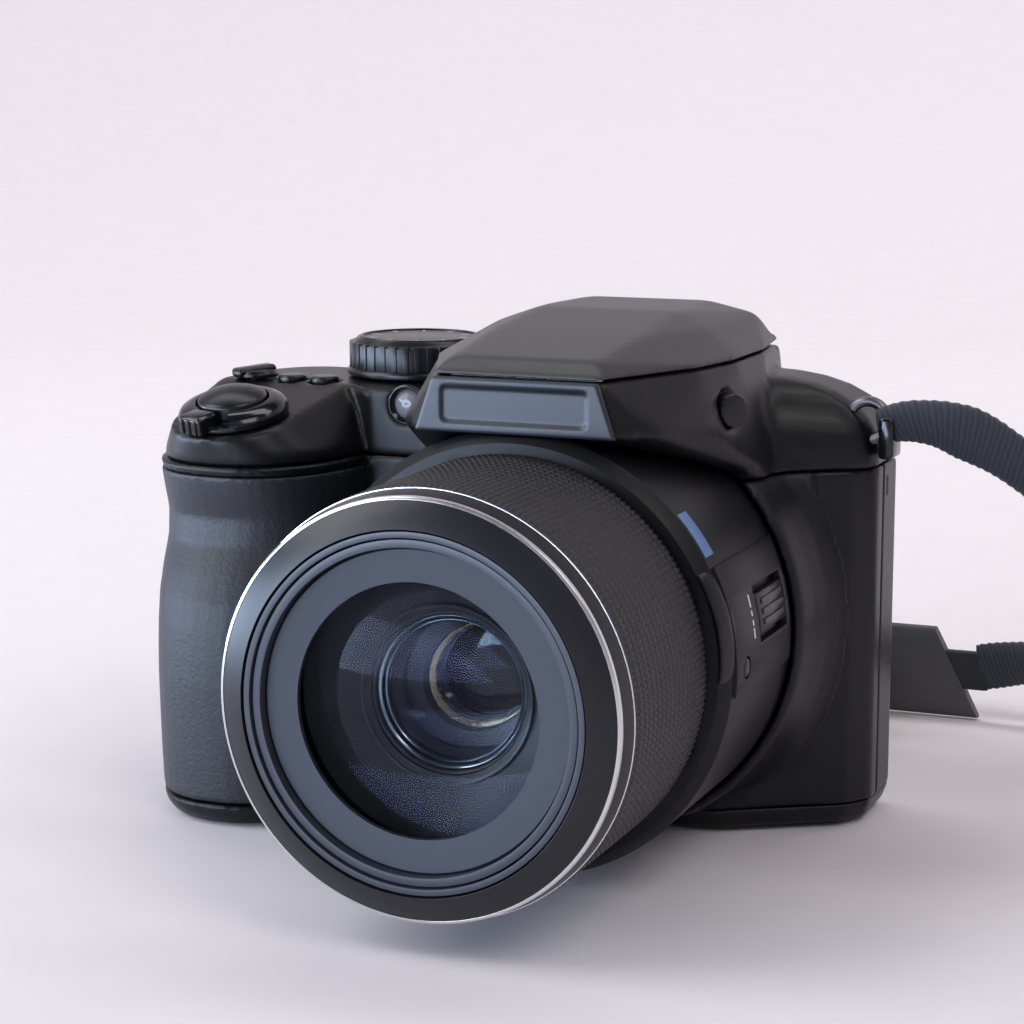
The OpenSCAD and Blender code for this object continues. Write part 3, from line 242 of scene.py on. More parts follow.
# %% Floor sweep
FLOOR_COLOUR = (0.775, 0.735, 0.755)
FLAT_OUT_TO = 0.75
BEND_RADIUS = 1.4
BEND_STEPS = 16
WALL_TOP = 2.4
floor_mesh = bmesh.new()
reaches = [(0.0, 0.0)]
for part in range(BEND_STEPS + 1):
    bend = math.pi / 2 * part / BEND_STEPS
    reaches.append((FLAT_OUT_TO + BEND_RADIUS * math.sin(bend), BEND_RADIUS * (1.0 - math.cos(bend))))
reaches.append((FLAT_OUT_TO + BEND_RADIUS, WALL_TOP))
profile = [floor_mesh.verts.new((out, 0.0, up)) for out, up in reaches]
for a, b in zip(profile, profile[1:]):
    floor_mesh.edges.new((a, b))
bmesh.ops.spin(
    floor_mesh, geom=floor_mesh.verts[:] + floor_mesh.edges[:], cent=(0.0, 0.0, 0.0), axis=(0.0, 0.0, 1.0),
    angle=math.tau, steps=96, use_merge=True,
)
bmesh.ops.remove_doubles(floor_mesh, verts=floor_mesh.verts, dist=0.0005)
bmesh.ops.recalc_face_normals(floor_mesh, faces=floor_mesh.faces)
if sum(f.normal.z for f in floor_mesh.faces) < 0.0:
    bmesh.ops.reverse_faces(floor_mesh, faces=floor_mesh.faces)
floor_data = bpy.data.meshes.new("floor_sweep")
floor_mesh.to_mesh(floor_data)
floor_mesh.free()
floor_data.shade_smooth()
floor = bpy.data.objects.new("floor_sweep", floor_data)
scene.collection.objects.link(floor)
floor_pale = moulded("floor_pale", FLOOR_COLOUR, 0.8, grain=0.8 * MM, strength=0.1, variation=0.03)
floor_data.materials.append(floor_pale)

# %% Lamps and world
def soft_lamp(name, place, aim, size, watts, colour):
    lamp_data = bpy.data.lights.new(name, "AREA")
    lamp_data.shape = "RECTANGLE"
    lamp_data.size, lamp_data.size_y = size
    lamp_data.energy = watts
    lamp_data.color = colour
    lamp = bpy.data.objects.new(name, lamp_data)
    lamp.location = place
    lamp.rotation_euler = (Vector(aim) - Vector(place)).to_track_quat("-Z", "Y").to_euler()
    lamp.visible_camera = False
    scene.collection.objects.link(lamp)


soft_lamp("window_left", (-0.85, -0.50, 0.85), (0.0, -0.03, 0.04), (0.8, 0.8), 9.0, (0.98, 0.98, 1.0))
soft_lamp("low_window", (-0.74, -0.95, 0.30), (0.0, -0.03, 0.05), (0.75, 0.58), 4.0, (0.80, 0.88, 1.0))
soft_lamp("table_glow", (-0.42, -0.38, 0.09), (-0.17, -0.15, 0.73), (1.0, 0.36), 12.0, (0.55, 0.72, 1.0))
soft_lamp("room_right", (0.7, -0.55, 1.0), (0.0, -0.03, 0.06), (0.6, 0.6), 4.0, (1.0, 0.96, 0.92))
soft_lamp("backdrop_light", (0.1, 0.45, 1.25), (0.1, 1.50, 0.35), (2.2, 0.9), 19.0, (1.0, 0.98, 0.99))
world = bpy.data.worlds.new("pale_room")
world.use_nodes = True
world.node_tree.nodes["Background"].inputs["Color"].default_value = (0.88, 0.88, 0.95, 1.0)
world.node_tree.nodes["Background"].inputs["Strength"].default_value = 0.03
scene.world = world
scene.view_settings.view_transform = "Standard"
print("floor sweep, five lamps and a pale room")

# %% [markdown]
# ## Helpers for pieces
# A finished piece keeps its place in its mesh, rides on a body, and usually stands for one CAD node.

# %% Piece helpers
SMOOTH_ANGLE = math.radians(35)
BEVEL_ANGLE = math.radians(30)


def make_piece(name, bm, material, angle=SMOOTH_ANGLE):
    bmesh.ops.recalc_face_normals(bm, faces=bm.faces)
    data = bpy.data.meshes.new(name)
    bm.to_mesh(data)
    bm.free()
    data.materials.append(material)
    data.shade_smooth()
    data.set_sharp_from_angle(angle=angle)
    piece = bpy.data.objects.new(name, data)
    scene.collection.objects.link(piece)
    return piece


def stands_for(piece, *nodes):
    """The piece takes over from these nodes, on their body."""
    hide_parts(*nodes)
    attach(piece, node_body[nodes[0]])
    return piece


def added(piece, body):
    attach(piece, body)
    return piece


def merged(node):
    """A copy of a CAD node, its loose triangles joined into whole flat faces."""
    bm = bmesh.new()
    bm.from_mesh(frame["nodes"][node].data)
    bmesh.ops.remove_doubles(bm, verts=bm.verts, dist=0.01 * MM)
    bmesh.ops.dissolve_limit(bm, angle_limit=math.radians(0.5), verts=bm.verts, edges=bm.edges)
    return bm


def ease_faces(mesh, areas):
    """Smooth away the creases inside each area: (low corner, high corner, rounds, holes to leave alone)."""
    bm = bmesh.new()
    bm.from_mesh(mesh)
    for low, high, rounds, holes in areas:
        chosen = [
            v for v in bm.verts
            if all(a * MM < c < b * MM for a, c, b in zip(low, v.co, high))
            and all((v.co - Vector(at) * MM).length > keep * MM for at, keep in holes)
        ]
        for _ in range(rounds):
            bmesh.ops.smooth_vert(
                bm, verts=chosen, factor=0.5, use_axis_x=True, use_axis_y=True, use_axis_z=True
            )
    bm.to_mesh(mesh)
    bm.free()


def softened(node, voxel, rounds, areas=()):
    """A CAD shell with every edge rounded, as a mould leaves it: an even skin, then smoothed."""
    bm = merged(node)
    data = bpy.data.meshes.new(node + "_rough")
    bm.to_mesh(data)
    bm.free()
    rough = bpy.data.objects.new(node + "_rough", data)
    scene.collection.objects.link(rough)
    skin = rough.modifiers.new("even_skin", "REMESH")
    skin.mode = "VOXEL"
    skin.voxel_size = voxel
    ease = rough.modifiers.new("rounded_edges", "SMOOTH")
    ease.factor = 0.5
    ease.iterations = rounds
    bpy.context.view_layer.update()
    made = bpy.data.meshes.new_from_object(rough.evaluated_get(bpy.context.evaluated_depsgraph_get()))
    bpy.data.objects.remove(rough)
    made.name = node + "_shell"
    made.materials.clear()
    made.materials.append(finishes[node_slot[node]])
    ease_faces(made, areas)
    made.shade_smooth()
    piece = bpy.data.objects.new(node + "_shell", made)
    scene.collection.objects.link(piece)
    print(piece.name, len(made.polygons), "faces")
    return stands_for(piece, node)


def bevelled(node, width):
    """A CAD node with its sharp edges broken by a small bevel."""
    bm = merged(node)
    sharp = [e for e in bm.edges if e.is_manifold and e.calc_face_angle(0.0) > BEVEL_ANGLE]
    bmesh.ops.bevel(
        bm, geom=sharp, offset=width, offset_type="OFFSET", segments=2, profile=0.5, affect="EDGES",
        clamp_overlap=True, material=-1,
    )
    return stands_for(make_piece(node + "_finished", bm, finishes[node_slot[node]]), node)


# %% [markdown]
# ## Neck strap
# The webbing leaves the lug bunched like a rope, loops out of view and comes back to the padded part, which
# is folded in runs behind the camera. Each length is swept: one closed ring of points after another along
# the route, bridged into a tube. The rings stand upright, so the band never twists.

# %% Strap routes
LEFT_ROUTE = [
    (44, 9, 68.7), (46.6, 9, 69.2), (50, 9, 69.6), (55, 9.5, 69), (61, 11, 66.5), (68, 13, 62), (76, 17, 56),
    (85, 23, 47), (93, 32, 36), (98, 43, 26), (98, 55, 19), (92, 66, 15.8), (82, 76, 14.4), (70, 82, 14),
    (57, 85, 12.8), (46, 86, 10.7),
]
RIGHT_ROUTE = [
    (-79.6, 5, 65.5), (-83, 11, 63.5), (-85, 19.5, 58.5), (-84.5, 27, 51), (-81.5, 32, 41), (-77, 34.5, 30),
    (-71, 35, 20), (-64, 34, 13), (-57, 33, 10), (-50, 32.4, 9.3),
]
WEB_WIDTH = 8.4
WEB_THICK = 4.4
PAD_WIDTH = 17.5
PAD_THICK = 2.6
FOLD_PITCH = 6.7
FOLD_RUNS = 9
FOLD_LEFT = -44.0
FOLD_RIGHT = 18.0
FOLD_Y = 86.0
FOLD_Z = 9.3
TURN_STEPS = 8


def folded_route():
    """The pad's to-and-fro runs and the half turns that join them."""
    points = [(46.0, FOLD_Y, FOLD_Z), (FOLD_RIGHT, FOLD_Y, FOLD_Z)]
    for run in range(FOLD_RUNS - 1):
        leftward = run % 2 == 0
        middle = FOLD_LEFT if leftward else FOLD_RIGHT
        way = -1.0 if leftward else 1.0
        for step in range(TURN_STEPS + 1):
            turn = math.pi * step / TURN_STEPS
            x = middle + way * FOLD_PITCH / 2 * math.sin(turn)
            y = FOLD_Y - FOLD_PITCH * (run + 0.5) + FOLD_PITCH / 2 * math.cos(turn)
            points.append((x, y, FOLD_Z))
    points.append((-50.0, FOLD_Y - FOLD_PITCH * (FOLD_RUNS - 1), FOLD_Z))
    return points


def curved_through(points, step):
    """Evenly shared points on a smooth curve through every point of a route."""
    p = [Vector(points[0])] + [Vector(c) for c in points] + [Vector(points[-1])]
    path = []
    for i in range(1, len(p) - 2):
        count = max(2, round((p[i + 1] - p[i]).length / step))
        for k in range(count):
            t = k / count
            path.append(
                0.5 * (2 * p[i] + (p[i + 1] - p[i - 1]) * t
                       + (2 * p[i - 1] - 5 * p[i] + 4 * p[i + 1] - p[i + 2]) * t * t
                       + (3 * p[i] - p[i - 1] - 3 * p[i + 1] + p[i + 2]) * t ** 3)
            )
    return path + [p[-1]]


def straight_through(points, step):
    path = []
    for a, b in zip(points, points[1:]):
        a, b = Vector(a), Vector(b)
        count = max(1, round((b - a).length / step))
        path += [a.lerp(b, k / count) for k in range(count)]
    return path + [Vector(points[-1])]


def route_length(path):
    return sum((b - a).length for a, b in zip(path, path[1:])) * MM


# %% Band sweep
def swept_band(name, path, shape_at, sides, material):
    """A tube through `path` (mm). shape_at(travel, angle) gives a ring point: aside, up and ahead."""
    bm = bmesh.new()
    travelled = bm.verts.layers.float.new("travelled")
    around = bm.verts.layers.float.new("around")
    travel = 0.0
    rings = []
    for i, here in enumerate(path):
        ahead = (path[min(i + 1, len(path) - 1)] - path[max(i - 1, 0)]).normalized()
        aside = ahead.cross(Vector((0, 0, 1))).normalized()
        up = aside.cross(ahead)
        if i:
            travel += (here - path[i - 1]).length
        ring = bmesh.ops.create_circle(bm, cap_ends=False, segments=sides, radius=1.0)["verts"]
        for k, vert in enumerate(ring):
            angle = math.tau * k / sides
            x, y, z = shape_at(travel, angle)
            vert.co = (here + aside * x + up * y + ahead * z) * MM
            vert[travelled] = travel
            vert[around] = k / sides
        rings.append({e for v in ring for e in v.link_edges})
    for a, b in zip(rings, rings[1:]):
        bmesh.ops.bridge_loops(bm, edges=list(a | b))
    bmesh.ops.holes_fill(bm, edges=[e for e in bm.edges if e.is_boundary], sides=sides)
    uv = bm.loops.layers.uv.new("woven")
    for face in bm.faces:
        turns = [loop.vert[around] for loop in face.loops]
        wraps = max(turns) - min(turns) > 0.5
        for loop in face.loops:
            turn = loop.vert[around]
            loop[uv].uv = (loop.vert[travelled], turn + 1.0 if wraps and turn < 0.5 else turn)
    return make_piece(name, bm, material, angle=math.radians(60))


def soft_power(value, power):
    return math.copysign(abs(value) ** power, value)


# %% [markdown]
# The webbing is a flat weave rolled into a cord where it is loaded, so its section is an uneven oval. Fine
# ribs run across it on a slant, which is what makes bunched webbing look like rope.

# %% Webbing and pad
RIDGE_PITCH = 1.5
SEWN_FLAT = 0.45
SEWN_OVER = 10.0
GATHERED = 0.66
GATHERED_OVER = 14.0


def webbing_shape(length):
    """A length of webbing's section: gathered at the lug it starts from, pressed flat where it is sewn in."""
    def shape(travel, angle):
        aside, up, ahead = rope_shape(travel, angle)
        flat = SEWN_FLAT + (1.0 - SEWN_FLAT) * min(1.0, (length - travel) / SEWN_OVER)
        gather = GATHERED + (1.0 - GATHERED) * min(1.0, travel / GATHERED_OVER)
        return aside * flat, up * gather, ahead
    return shape


def rope_shape(travel, angle):
    ridge = 1.0 + 0.022 * math.sin(math.tau * travel / RIDGE_PITCH + 2.0 * angle)
    slack = 1.0 + 0.05 * math.sin(travel / 6.0) + 0.03 * math.sin(travel / 2.3 + 1.0)
    crease = 0.22 * math.sin(3.0 * angle + travel / 9.0)
    aside = WEB_THICK / 2 * soft_power(math.cos(angle), 0.8) * ridge + crease * math.cos(angle)
    up = WEB_WIDTH / 2 * soft_power(math.sin(angle), 0.85) * ridge * slack
    return aside, up, 0.0


PAD_SLANT = 9.0
PAD_EASE = 26.0


def pad_shape(travel, angle):
    """A flat band with rounded edges. Its first end is cut on a slant, longer below than above."""
    up = soft_power(math.sin(angle), 0.3)
    aside = PAD_THICK / 2 * soft_power(math.cos(angle), 0.3)
    fade = max(0.0, 1.0 - travel / PAD_EASE)
    return aside, PAD_WIDTH / 2 * up, PAD_SLANT * (up + 1.0) / 2 * fade


def woven(name, colour):
    """Ribbed weave: fine cords across the band, laid out on the band's own UV map. Its colour carries painted
    shade, darker in the grooves between the cords and paler on their tops.
    """
    material, tree, shader = new_finish(name)
    place = tree.nodes.new("ShaderNodeTexCoord").outputs["UV"]
    stretch = tree.nodes.new("ShaderNodeMapping")
    stretch.inputs["Scale"].default_value = (1.0, 6.0, 1.0)
    tree.links.new(place, stretch.inputs["Vector"])
    cords = texture(
        tree, "ShaderNodeTexWave", 1.4, stretch.outputs["Vector"], bands_direction="DIAGONAL", Distortion=0.8,
        Detail=2.0,
    )
    fuzz = texture(tree, "ShaderNodeTexNoise", 0.25 * MM, Detail=3.0)
    height = tree.nodes.new("ShaderNodeMath")
    height.operation = "ADD"
    tree.links.new(cords.outputs["Fac"], height.inputs[0])
    tree.links.new(fuzz.outputs["Fac"], height.inputs[1])
    # Painted shade and light: the colour follows the cords' relief, darker in the grooves between them and
    # paler on their tops, the same texture that drives the bump.
    dark = [c * 0.6 for c in colour]
    light = [c * 1.5 for c in colour]
    tree.links.new(blend_colours(tree, cords.outputs["Fac"], dark, light), shader.inputs["Base Color"])
    tree.links.new(spread_value(tree, fuzz.outputs["Fac"], 0.65, 0.9), shader.inputs["Roughness"])
    shader.inputs["Sheen Weight"].default_value = 0.25
    add_bump(tree, shader, height.outputs["Value"], 0.7, 0.12 * MM)
    return material


finishes["webbing"] = woven("webbing_navy", (0.014, 0.018, 0.030))
for node in ("strap_left", "strap_right"):
    frame["nodes"][node].data.materials[0] = finishes["webbing"]

WEB_STEP = 0.35
PAD_STEP = 2.0
WEB_SIDES = 24
PAD_SIDES = 32
left_path = curved_through(LEFT_ROUTE, WEB_STEP)
right_path = curved_through(RIGHT_ROUTE, WEB_STEP)
pad_path = straight_through(folded_route(), PAD_STEP)
left_shape = webbing_shape(route_length(left_path) / MM)
right_shape = webbing_shape(route_length(right_path) / MM)
left_web = stands_for(
    swept_band("strap_webbing_left", left_path, left_shape, WEB_SIDES, finishes["webbing"]), "strap_left"
)
right_web = stands_for(
    swept_band("strap_webbing_right", right_path, right_shape, WEB_SIDES, finishes["webbing"]), "strap_right"
)
pad = stands_for(
    swept_band("strap_pad", pad_path, pad_shape, PAD_SIDES, finishes["pad_leather"]), "strap_neck_pad"
)
print("webbing", round(route_length(left_path), 3), "and", round(route_length(right_path), 3), "m, pad",
      round(route_length(pad_path), 3), "m")

# %% Keepers
def rounded_block(size, radius):
    bm = bmesh.new()
    bmesh.ops.create_cube(bm, size=1.0)
    bmesh.ops.scale(bm, vec=Vector(size) * MM, verts=bm.verts)
    bmesh.ops.bevel(
        bm, geom=bm.edges[:], offset=radius * MM, offset_type="OFFSET", segments=3, profile=0.5,
        affect="EDGES", clamp_overlap=True, material=-1,
    )
    return bm


def rounded_box(name, centre, size, radius, material, turn=None):
    bm = rounded_block(size, radius)
    if turn is not None:
        bmesh.ops.rotate(bm, matrix=turn, verts=bm.verts)
    bmesh.ops.translate(bm, vec=Vector(centre) * MM, verts=bm.verts)
    return make_piece(name, bm, material)


left_keeper = added(
    rounded_box("strap_keeper_left", (45.6, 9, 66.8), (2.6, 6.0, 7.0), 0.7, finishes["gloss_black"]),
    "camera_body",
)
right_keeper = added(
    rounded_box("strap_keeper_right", (-82.4, 10.0, 63.4), (5.8, 3.0, 7.0), 0.7, finishes["gloss_black"]),
    "camera_body",
)
pad_tab = added(
    rounded_box("strap_pad_tab", (-48.5, 32.4, 9.3), (7.0, 6.0, 11.0), 0.8, finishes["pad_leather"]),
    "camera_body",
)
pad_tuck = added(
    rounded_box("strap_pad_tuck", (43.4, 86.0, 9.9), (9.0, 2.1, 7.6), 0.6, finishes["webbing"]),
    "camera_body",
)

# %% [markdown]
# ## Covers
# Injection moulding leaves no sharp edge: every corner has a radius and every seam is a small groove
# between two rounded edges. A fine even skin over the CAD shell, smoothed a few times, gives exactly that,
# and the grooves appear by themselves where two softened shells meet.

# %% Softened shells
SHELLS = {
    "top_cover": (0.6 * MM, 5),
    "front_cover": (0.65 * MM, 4),
    "rear_cover": (0.65 * MM, 3),
    "base_cover": (0.6 * MM, 3),
    "battery_door": (0.6 * MM, 3),
    "grip_rubber": (0.5 * MM, 6),
    "thumb_rest": (0.3 * MM, 4),
    "flash_lid": (0.45 * MM, 6),
    "front_plate": (0.25 * MM, 3),
    "eyecup": (0.4 * MM, 4),
    "terminal_cover": (0.3 * MM, 3),
}
FLASH_BUTTON = ((26.2, -17.0, 73.5), 5.5)
EASED = {
    "top_cover": [
        ((12, -40.5, 62.5), (31, 3, 79.4), 24, [FLASH_BUTTON]),
        ((-31, -40.5, 62.5), (-12, -10, 79.4), 24, []),
    ],
    "flash_lid": [((-30, -44, 82.2), (30, 24, 90), 18, [])],
}
for node, (voxel, rounds) in SHELLS.items():
    softened(node, voxel, rounds, EASED.get(node, ()))

# %% [markdown]
# ## Lens rings
# Turned parts are drawn as half a section, (radius, height along the lens) in millimetres, and spun once
# round the lens axis. The section's corners are rounded first, so each ring carries a bright line on its
# edge.

# %% Spun rings
ON_LENS = Matrix.Translation((0.0, 0.0, 37.0 * MM)) @ Matrix.Rotation(math.radians(90), 4, "X")


def spun(name, section, rounding, material, place=ON_LENS, steps=160, begin=0.0, sweep=360.0, ease=None):
    """A section of (radius, height) turned round the Z axis of `place`, all the way or over `sweep` degrees.

    `ease(part)` may say how far in millimetres a partial turn is drawn in. `part` runs from 0 to 1 along it.
    """
    bm = bmesh.new()
    points = [bm.verts.new((r * MM, 0.0, h * MM)) for r, h in section]
    for a, b in zip(points, points[1:] + points[:1]):
        bm.edges.new((a, b))
    bmesh.ops.bevel(
        bm, geom=points, offset=rounding * MM, offset_type="OFFSET", segments=3, profile=0.5,
        affect="VERTICES", material=-1,
    )
    whole = sweep == 360.0
    bmesh.ops.spin(
        bm, geom=bm.verts[:] + bm.edges[:], cent=(0.0, 0.0, 0.0), axis=(0.0, 0.0, 1.0),
        angle=math.radians(sweep), steps=steps, use_merge=whole, use_duplicate=False,
    )
    if not whole:
        bmesh.ops.holes_fill(bm, edges=[e for e in bm.edges if e.is_boundary], sides=0)
    if ease is not None:
        for vert in bm.verts:
            part = math.degrees(math.atan2(vert.co.y, vert.co.x)) / sweep
            flat = Vector((vert.co.x, vert.co.y, 0.0))
            vert.co -= flat.normalized() * ease(min(1.0, max(0.0, part))) * MM
    turned = place @ Matrix.Rotation(math.radians(begin), 4, "Z")
    bmesh.ops.transform(bm, matrix=turned, verts=bm.verts)
    return make_piece(name, bm, material)


stands_for(
    spun(
        "front_ring_polished",
        [(26.7, 83.25), (31.0, 81.0), (31.8, 77.2), (31.8, 77.0), (28.9, 77.0), (28.9, 78.0), (26.7, 78.0)],
        0.12, ring_black,
    ),
    "front_ring",
)
added(spun("front_ring_line", [(30.62, 81.3), (31.08, 81.08), (31.2, 80.45), (30.7, 80.7)], 0.08, chrome),
      "camera_body")
added(spun("rim_line", [(31.6, 77.5), (31.86, 77.47), (31.87, 77.27), (31.6, 77.25)], 0.04, chrome),
      "camera_body")
stands_for(
    spun(
        "outer_tube_turned",
        [(25.5, 82.9), (26.4, 82.9), (26.4, 37.9), (25.4, 37.9), (25.4, 38.9), (25.5, 38.9)],
        0.03, tube_satin,
    ),
    "zoom_tube_outer",
)
stands_for(
    spun(
        "inner_tube_turned",
        [(24.0, 82.4), (25.2, 82.4), (25.2, 37.4), (23.6, 37.4), (23.6, 38.4), (24.0, 38.4)],
        0.05, tube_satin,
    ),
    "zoom_tube_inner",
)

# %% [markdown]
# ## Knurled sleeve
# The sleeve's ribs are fine and broken into short dashes by shallow grooves round the lens. It is joined
# directly, turn by turn, because a spin of so many steps takes a minute.

# %% Sleeve
SLEEVE_RIBS = 200
STEPS_A_RIB = 5
RIB_DEPTH = 0.26
BORE_R = 28.9
GROOVE_R = 31.86
RIB_R = 32.04
DASH = 1.9
DASH_ROWS = 16


def knurled(name, section, material):
    """A ring whose outer points are drawn in between the ribs."""
    bm = bmesh.new()
    turns = []
    for step in range(SLEEVE_RIBS * STEPS_A_RIB):
        angle = math.tau * step / (SLEEVE_RIBS * STEPS_A_RIB)
        drawn_in = RIB_DEPTH * (0.5 - 0.5 * math.cos(SLEEVE_RIBS * angle)) ** 2
        turn = []
        for radius, height in section:
            r = radius - drawn_in if radius > BORE_R else radius
            place = Vector((r * math.cos(angle), r * math.sin(angle), height)) * MM
            turn.append(bm.verts.new(ON_LENS @ place))
        turns.append(turn)
    for a, b in zip(turns, turns[1:] + turns[:1]):
        for i, (a0, b0) in enumerate(zip(a, b)):
            bm.faces.new((a[i - 1], a0, b0, b[i - 1]))
    return make_piece(name, bm, material)


dash_section = [(BORE_R, 77.0), (BORE_R, 45.0)]
for row in range(DASH_ROWS):
    low = 45.4 + row * DASH
    dash_section += [(GROOVE_R, low), (RIB_R, low + 0.25)]
    dash_section += [(RIB_R, low + DASH - 0.45), (GROOVE_R, low + DASH - 0.2)]
dash_section += [(GROOVE_R, 76.2), (31.6, 77.0)]
stands_for(knurled("ribbed_sleeve_knurled", dash_section, finishes["sleeve_plastic"]), "ribbed_sleeve")
print("sleeve with", SLEEVE_RIBS, "ribs in", DASH_ROWS, "rows")

# %% [markdown]
# ## What is seen through the front glass
# Behind the front element sits a smaller lens in a retaining ring with bright lips, and behind that a black
# stepped funnel narrows to the iris. A funnel that is one spun section with real steps catches a thin line
# of light on each edge, which a painted picture of rings could not do when the view changes.

# %% Retaining ring, funnel and iris
SEAT = 67.4
seen_within = [
    ("retaining_ring", 0.08, tube_satin,
     [(10.5, -0.5), (10.85, -0.2), (11.0, -0.5), (11.0, -2.4), (10.6, -2.4)]),
    ("retaining_lip", 0.06, cool_metal, [(9.85, -1.1), (10.2, -0.8), (10.25, -2.2), (9.9, -2.2)]),
    ("retaining_step", 0.05, cool_metal, [(9.25, -1.6), (9.45, -1.4), (9.5, -2.6), (9.3, -2.6)]),
    ("baffle_ring", 0.06, tube_satin, [(11.9, 0.75), (12.3, 0.95), (12.3, 0.4), (11.9, 0.2)]),
    ("iris_funnel", 0.12, tube_satin,
     [(9.9, -4.7), (9.4, -4.7), (9.3, -5.6), (7.7, -6.0), (7.6, -7.0), (5.7, -7.4), (5.6, -8.6), (4.5, -8.8),
      (4.5, -11.0), (9.9, -11.0)]),
    ("iris_ring", 0.08, gold_metal, [(4.7, -8.3), (5.3, -8.0), (5.35, -8.7), (4.7, -8.9)]),
    ("iris_glass", 0.01, finishes["gloss_black"],
     [(0.02, -8.6), (2.4, -8.9), (4.6, -9.8), (4.6, -10.6), (0.02, -10.6)]),
]
for name, rounding, material, section in seen_within:
    seated = [(radius, SEAT + height) for radius, height in section]
    added(spun(name, seated, rounding, material, steps=96), "zoom_stage_inner")
print(len(seen_within), "pieces behind the front glass")

# %% [markdown]
# ## Zoom lever
# A thick ring round the shutter button, domed so that a finger slides from one to the other. It is open at
# the front, where the button's edge shows, and carries a ridged tab beside the opening. Two partial turns
# of two sections make the high and the low part of the ring.

# %% Lever round the shutter
SHUTTER_AT = (-60.2, -21.0, 68.56)
SHUTTER_TILT = math.radians(13)
on_shutter = Matrix.Translation(Vector(SHUTTER_AT) * MM) @ Matrix.Rotation(SHUTTER_TILT, 4, "X")
stands_for(
    spun(
        "zoom_lever_ring", [(6.25, 0.3), (9.4, 0.3), (9.4, 1.4), (8.8, 2.3), (7.6, 2.9), (6.25, 3.2)], 0.3,
        finishes["gloss_black"], on_shutter, steps=90, begin=-68.0, sweep=306.0,
    ),
    "zoom_lever",
)
added(
    spun("zoom_lever_gap", [(6.25, 0.3), (9.3, 0.3), (9.3, 0.9), (6.25, 1.2)], 0.15, finishes["gloss_black"],
         on_shutter, steps=20, begin=-124.0, sweep=58.0),
    "zoom_lever",
)
LEVER_TURN = math.radians(-104)


def on_lever(name, away, aside, size, low, radius, material):
    """A rounded block on the lever, `away` from the shutter's axis and `aside` from the tab's middle."""
    turn = Matrix.Rotation(LEVER_TURN, 4, "Z")
    bm = rounded_block(size, radius)
    bmesh.ops.translate(bm, vec=Vector((away, aside, low + size[2] / 2)) * MM, verts=bm.verts)
    bmesh.ops.transform(bm, matrix=on_shutter @ turn, verts=bm.verts)
    return added(make_piece(name, bm, material), "zoom_lever")


on_lever("zoom_lever_tab", 8.9, 0.0, (4.6, 5.0, 3.2), 0.3, 0.7, finishes["gloss_black"])
for side in (-1.4, 0.0, 1.4):
    ridge_name = "zoom_lever_ridge_%d" % round(10 * side + 20)
    on_lever(ridge_name, 11.1, side, (0.8, 0.7, 2.6), 0.5, 0.3, finishes["control_plastic"])
print("lever ring, tab and three ridges")

# %% [markdown]
# ## Collar
# The collar carries a thumb plate with the side zoom rocker, a chamfer that runs along the plate's front, a
# short blue stripe and a broken white line. Stripe and line are thin raised bands, so they keep crisp
# edges.

# %% Collar trim
added(
    spun(
        "collar_chamfer", [(35.75, 41.2), (35.5, 43.0), (34.6, 45.1), (33.8, 45.1), (33.8, 41.2)], 0.25,
        finishes["control_plastic"], steps=40, begin=-1.5, sweep=28.5,
        ease=lambda part: 0.6 * (1.0 - math.sin(math.pi * part) ** 0.5),
    ),
    "camera_body",
)
added(
    spun("collar_stripe", [(35.0, 38.6), (35.3, 38.6), (35.3, 42.4), (35.0, 42.4)], 0.05, print_blue,
         steps=24, begin=30.0, sweep=12.5),
    "camera_body",
)
DASHES = [(5.8, 2.6), (9.0, 1.4), (11.4, 1.4), (13.6, 3.2)]
for begin, sweep in DASHES:
    added(
        spun("collar_dash_%d" % round(begin * 10), [(35.5, 32.3), (35.76, 32.3), (35.76, 32.8), (35.5, 32.8)],
             0.03, print_white, steps=6, begin=begin, sweep=sweep),
        "camera_body",
    )
for middle in (8.4, 11.0, 13.6):
    added(
        spun("rocker_rib_%d" % round(middle * 10), [(35.6, 16.8), (36.1, 17.2), (36.1, 27.6), (35.6, 28.2)],
             0.12, finishes["control_plastic"], steps=6, begin=middle - 0.6, sweep=1.2),
        "zoom_rocker",
    )
print("chamfer, stripe,", len(DASHES), "dashes and three ribs")

# %% [markdown]
# ## Mode dial, focus lamp and side slot
# The dial stands on a smooth flange and has a raised lip on top with a plain tick for each setting. The
# lamp beside the hump is a small dome in a polished rim. The slot on the body's left side is a dark recess.
# The power switch is a disc with a thumb ridge across it.

# %% Small fittings
on_dial = Matrix.Translation(Vector((-40.5, 12.0, 72.6)) * MM)
DIAL_RINGS = {
    "mode_dial_flange": (0.15, [(11.4, 0.6), (12.8, 0.6), (12.8, 1.5), (12.5, 1.9), (11.4, 1.9)]),
    "mode_dial_lip": (0.1, [(9.9, 7.0), (10.7, 7.0), (10.6, 7.35), (10.0, 7.35)]),
    "mode_dial_core": (0.1, [(11.0, 1.4), (12.3, 1.4), (12.3, 6.1), (11.0, 6.1)]),
}
for name, (rounding, section) in DIAL_RINGS.items():
    added(spun(name, section, rounding, finishes["control_plastic"], on_dial, steps=120),
          "mode_dial")
TICKS = 10
for tick in range(TICKS):
    added(
        spun("mode_dial_tick_%d" % tick, [(7.6, 7.0), (9.2, 7.0), (9.2, 7.13), (7.6, 7.13)], 0.02,
             print_white, on_dial, steps=2, begin=360.0 * tick / TICKS, sweep=2.4),
        "mode_dial",
    )
print(len(DIAL_RINGS), "dial rings and", TICKS, "ticks")

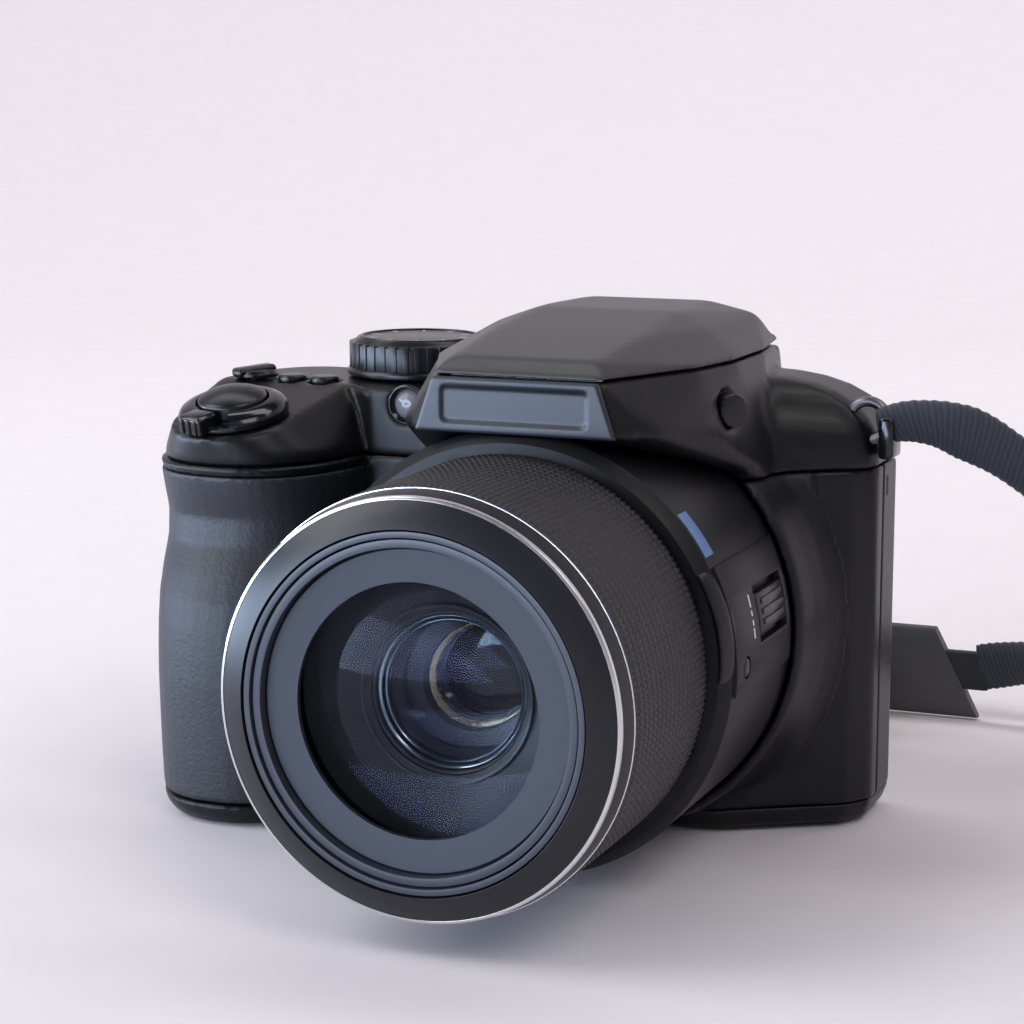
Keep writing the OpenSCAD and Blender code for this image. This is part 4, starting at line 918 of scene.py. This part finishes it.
on_lamp = Matrix.Translation(Vector((-34.0, 0.0, 70.2)) * MM) @ Matrix.Rotation(math.radians(90), 4, "X")
added(
    spun("focus_lamp_rim", [(2.55, 7.4), (3.45, 7.4), (3.45, 8.4), (3.1, 8.6), (2.55, 8.0)], 0.12,
         finishes["gloss_black"], on_lamp, steps=64),
    "camera_body",
)
stands_for(
    spun("focus_lamp_lens", [(0.02, 6.5), (2.5, 6.5), (2.5, 7.6), (1.8, 8.1), (0.9, 8.35), (0.02, 8.4)], 0.01,
         finishes["lamp"], on_lamp, steps=64),
    "focus_lamp",
)
added(rounded_box("side_slot", (43.52, 16.6, 57.4), (0.3, 1.2, 3.4), 0.14, finishes["inner_black"]),
      "camera_body")
on_switch = Matrix.Translation(Vector((-66.0, -1.5, 72.6)) * MM)
stands_for(
    spun("power_switch_disc",
         [(0.02, -3.8), (1.5, -3.8), (1.5, 0.3), (3.8, 0.3), (3.8, 0.9), (3.3, 1.5), (0.02, 1.7)], 0.12,
         finishes["control_plastic"], on_switch, steps=64),
    "power_switch",
)
added(
    rounded_box("power_switch_ridge", (-66.3, -2.0, 73.9), (7.6, 3.4, 1.7), 0.7, finishes["control_plastic"],
                Matrix.Rotation(math.radians(55), 3, "Z") @ Matrix.Rotation(math.radians(-4), 3, "Y")),
    "power_switch",
)
print("lamp, slot and power switch")

# %% [markdown]
# ## Dials and buttons
# The CAD meshes serve for the collar, the dials and the buttons: their edges only need breaking. Six
# buttons sit in wells of the softened top cover, whose floors came out rounded, so their hidden ends are
# drawn in.

# %% Bevelled controls
BEVELS = {
    "lens_collar": 0.3, "zoom_rocker": 0.3, "collar_button": 0.2, "mode_dial": 0.15,
    "command_dial": 0.12, "shutter_button": 0.5,
    "exposure_button": 0.2, "burst_button": 0.2, "flash_button": 0.25, "movie_button": 0.2,
    "playback_button": 0.2, "display_button": 0.2, "finder_button": 0.2, "four_way_pad": 0.3,
    "ok_button": 0.25,
    "dioptre_wheel": 0.12, "lcd_window": 0.3,
}
FLASH_TURN = math.radians(55)
UPWARD = Vector((0.0, 0.0, 1.0))
BACKWARD = Vector((0.0, 1.0, 0.0))
PRESSED = {
    "exposure_button": UPWARD, "burst_button": UPWARD, "movie_button": BACKWARD, "finder_button": BACKWARD,
    "flash_button": Vector((math.sin(FLASH_TURN), -math.cos(FLASH_TURN), 0.0)),
    "shutter_button": Vector((0.0, -math.sin(SHUTTER_TILT), math.cos(SHUTTER_TILT))),
}
HIDDEN_END = 0.7
DRAWN_IN = 0.8


def shorten(piece, outward):
    """Draw in the hidden end of a button, so that it clears the floor of its well when pressed."""
    deepest = min(v.co.dot(outward) for v in piece.data.vertices)
    for vert in piece.data.vertices:
        if vert.co.dot(outward) < deepest + HIDDEN_END * MM:
            vert.co += outward * DRAWN_IN * MM


for node, width in BEVELS.items():
    finished = bevelled(node, width * MM)
    if node == "lens_collar":
        finished.data.materials[0] = collar_black
    if node in PRESSED:
        shorten(finished, PRESSED[node])
print(len(BEVELS), "bevelled pieces")
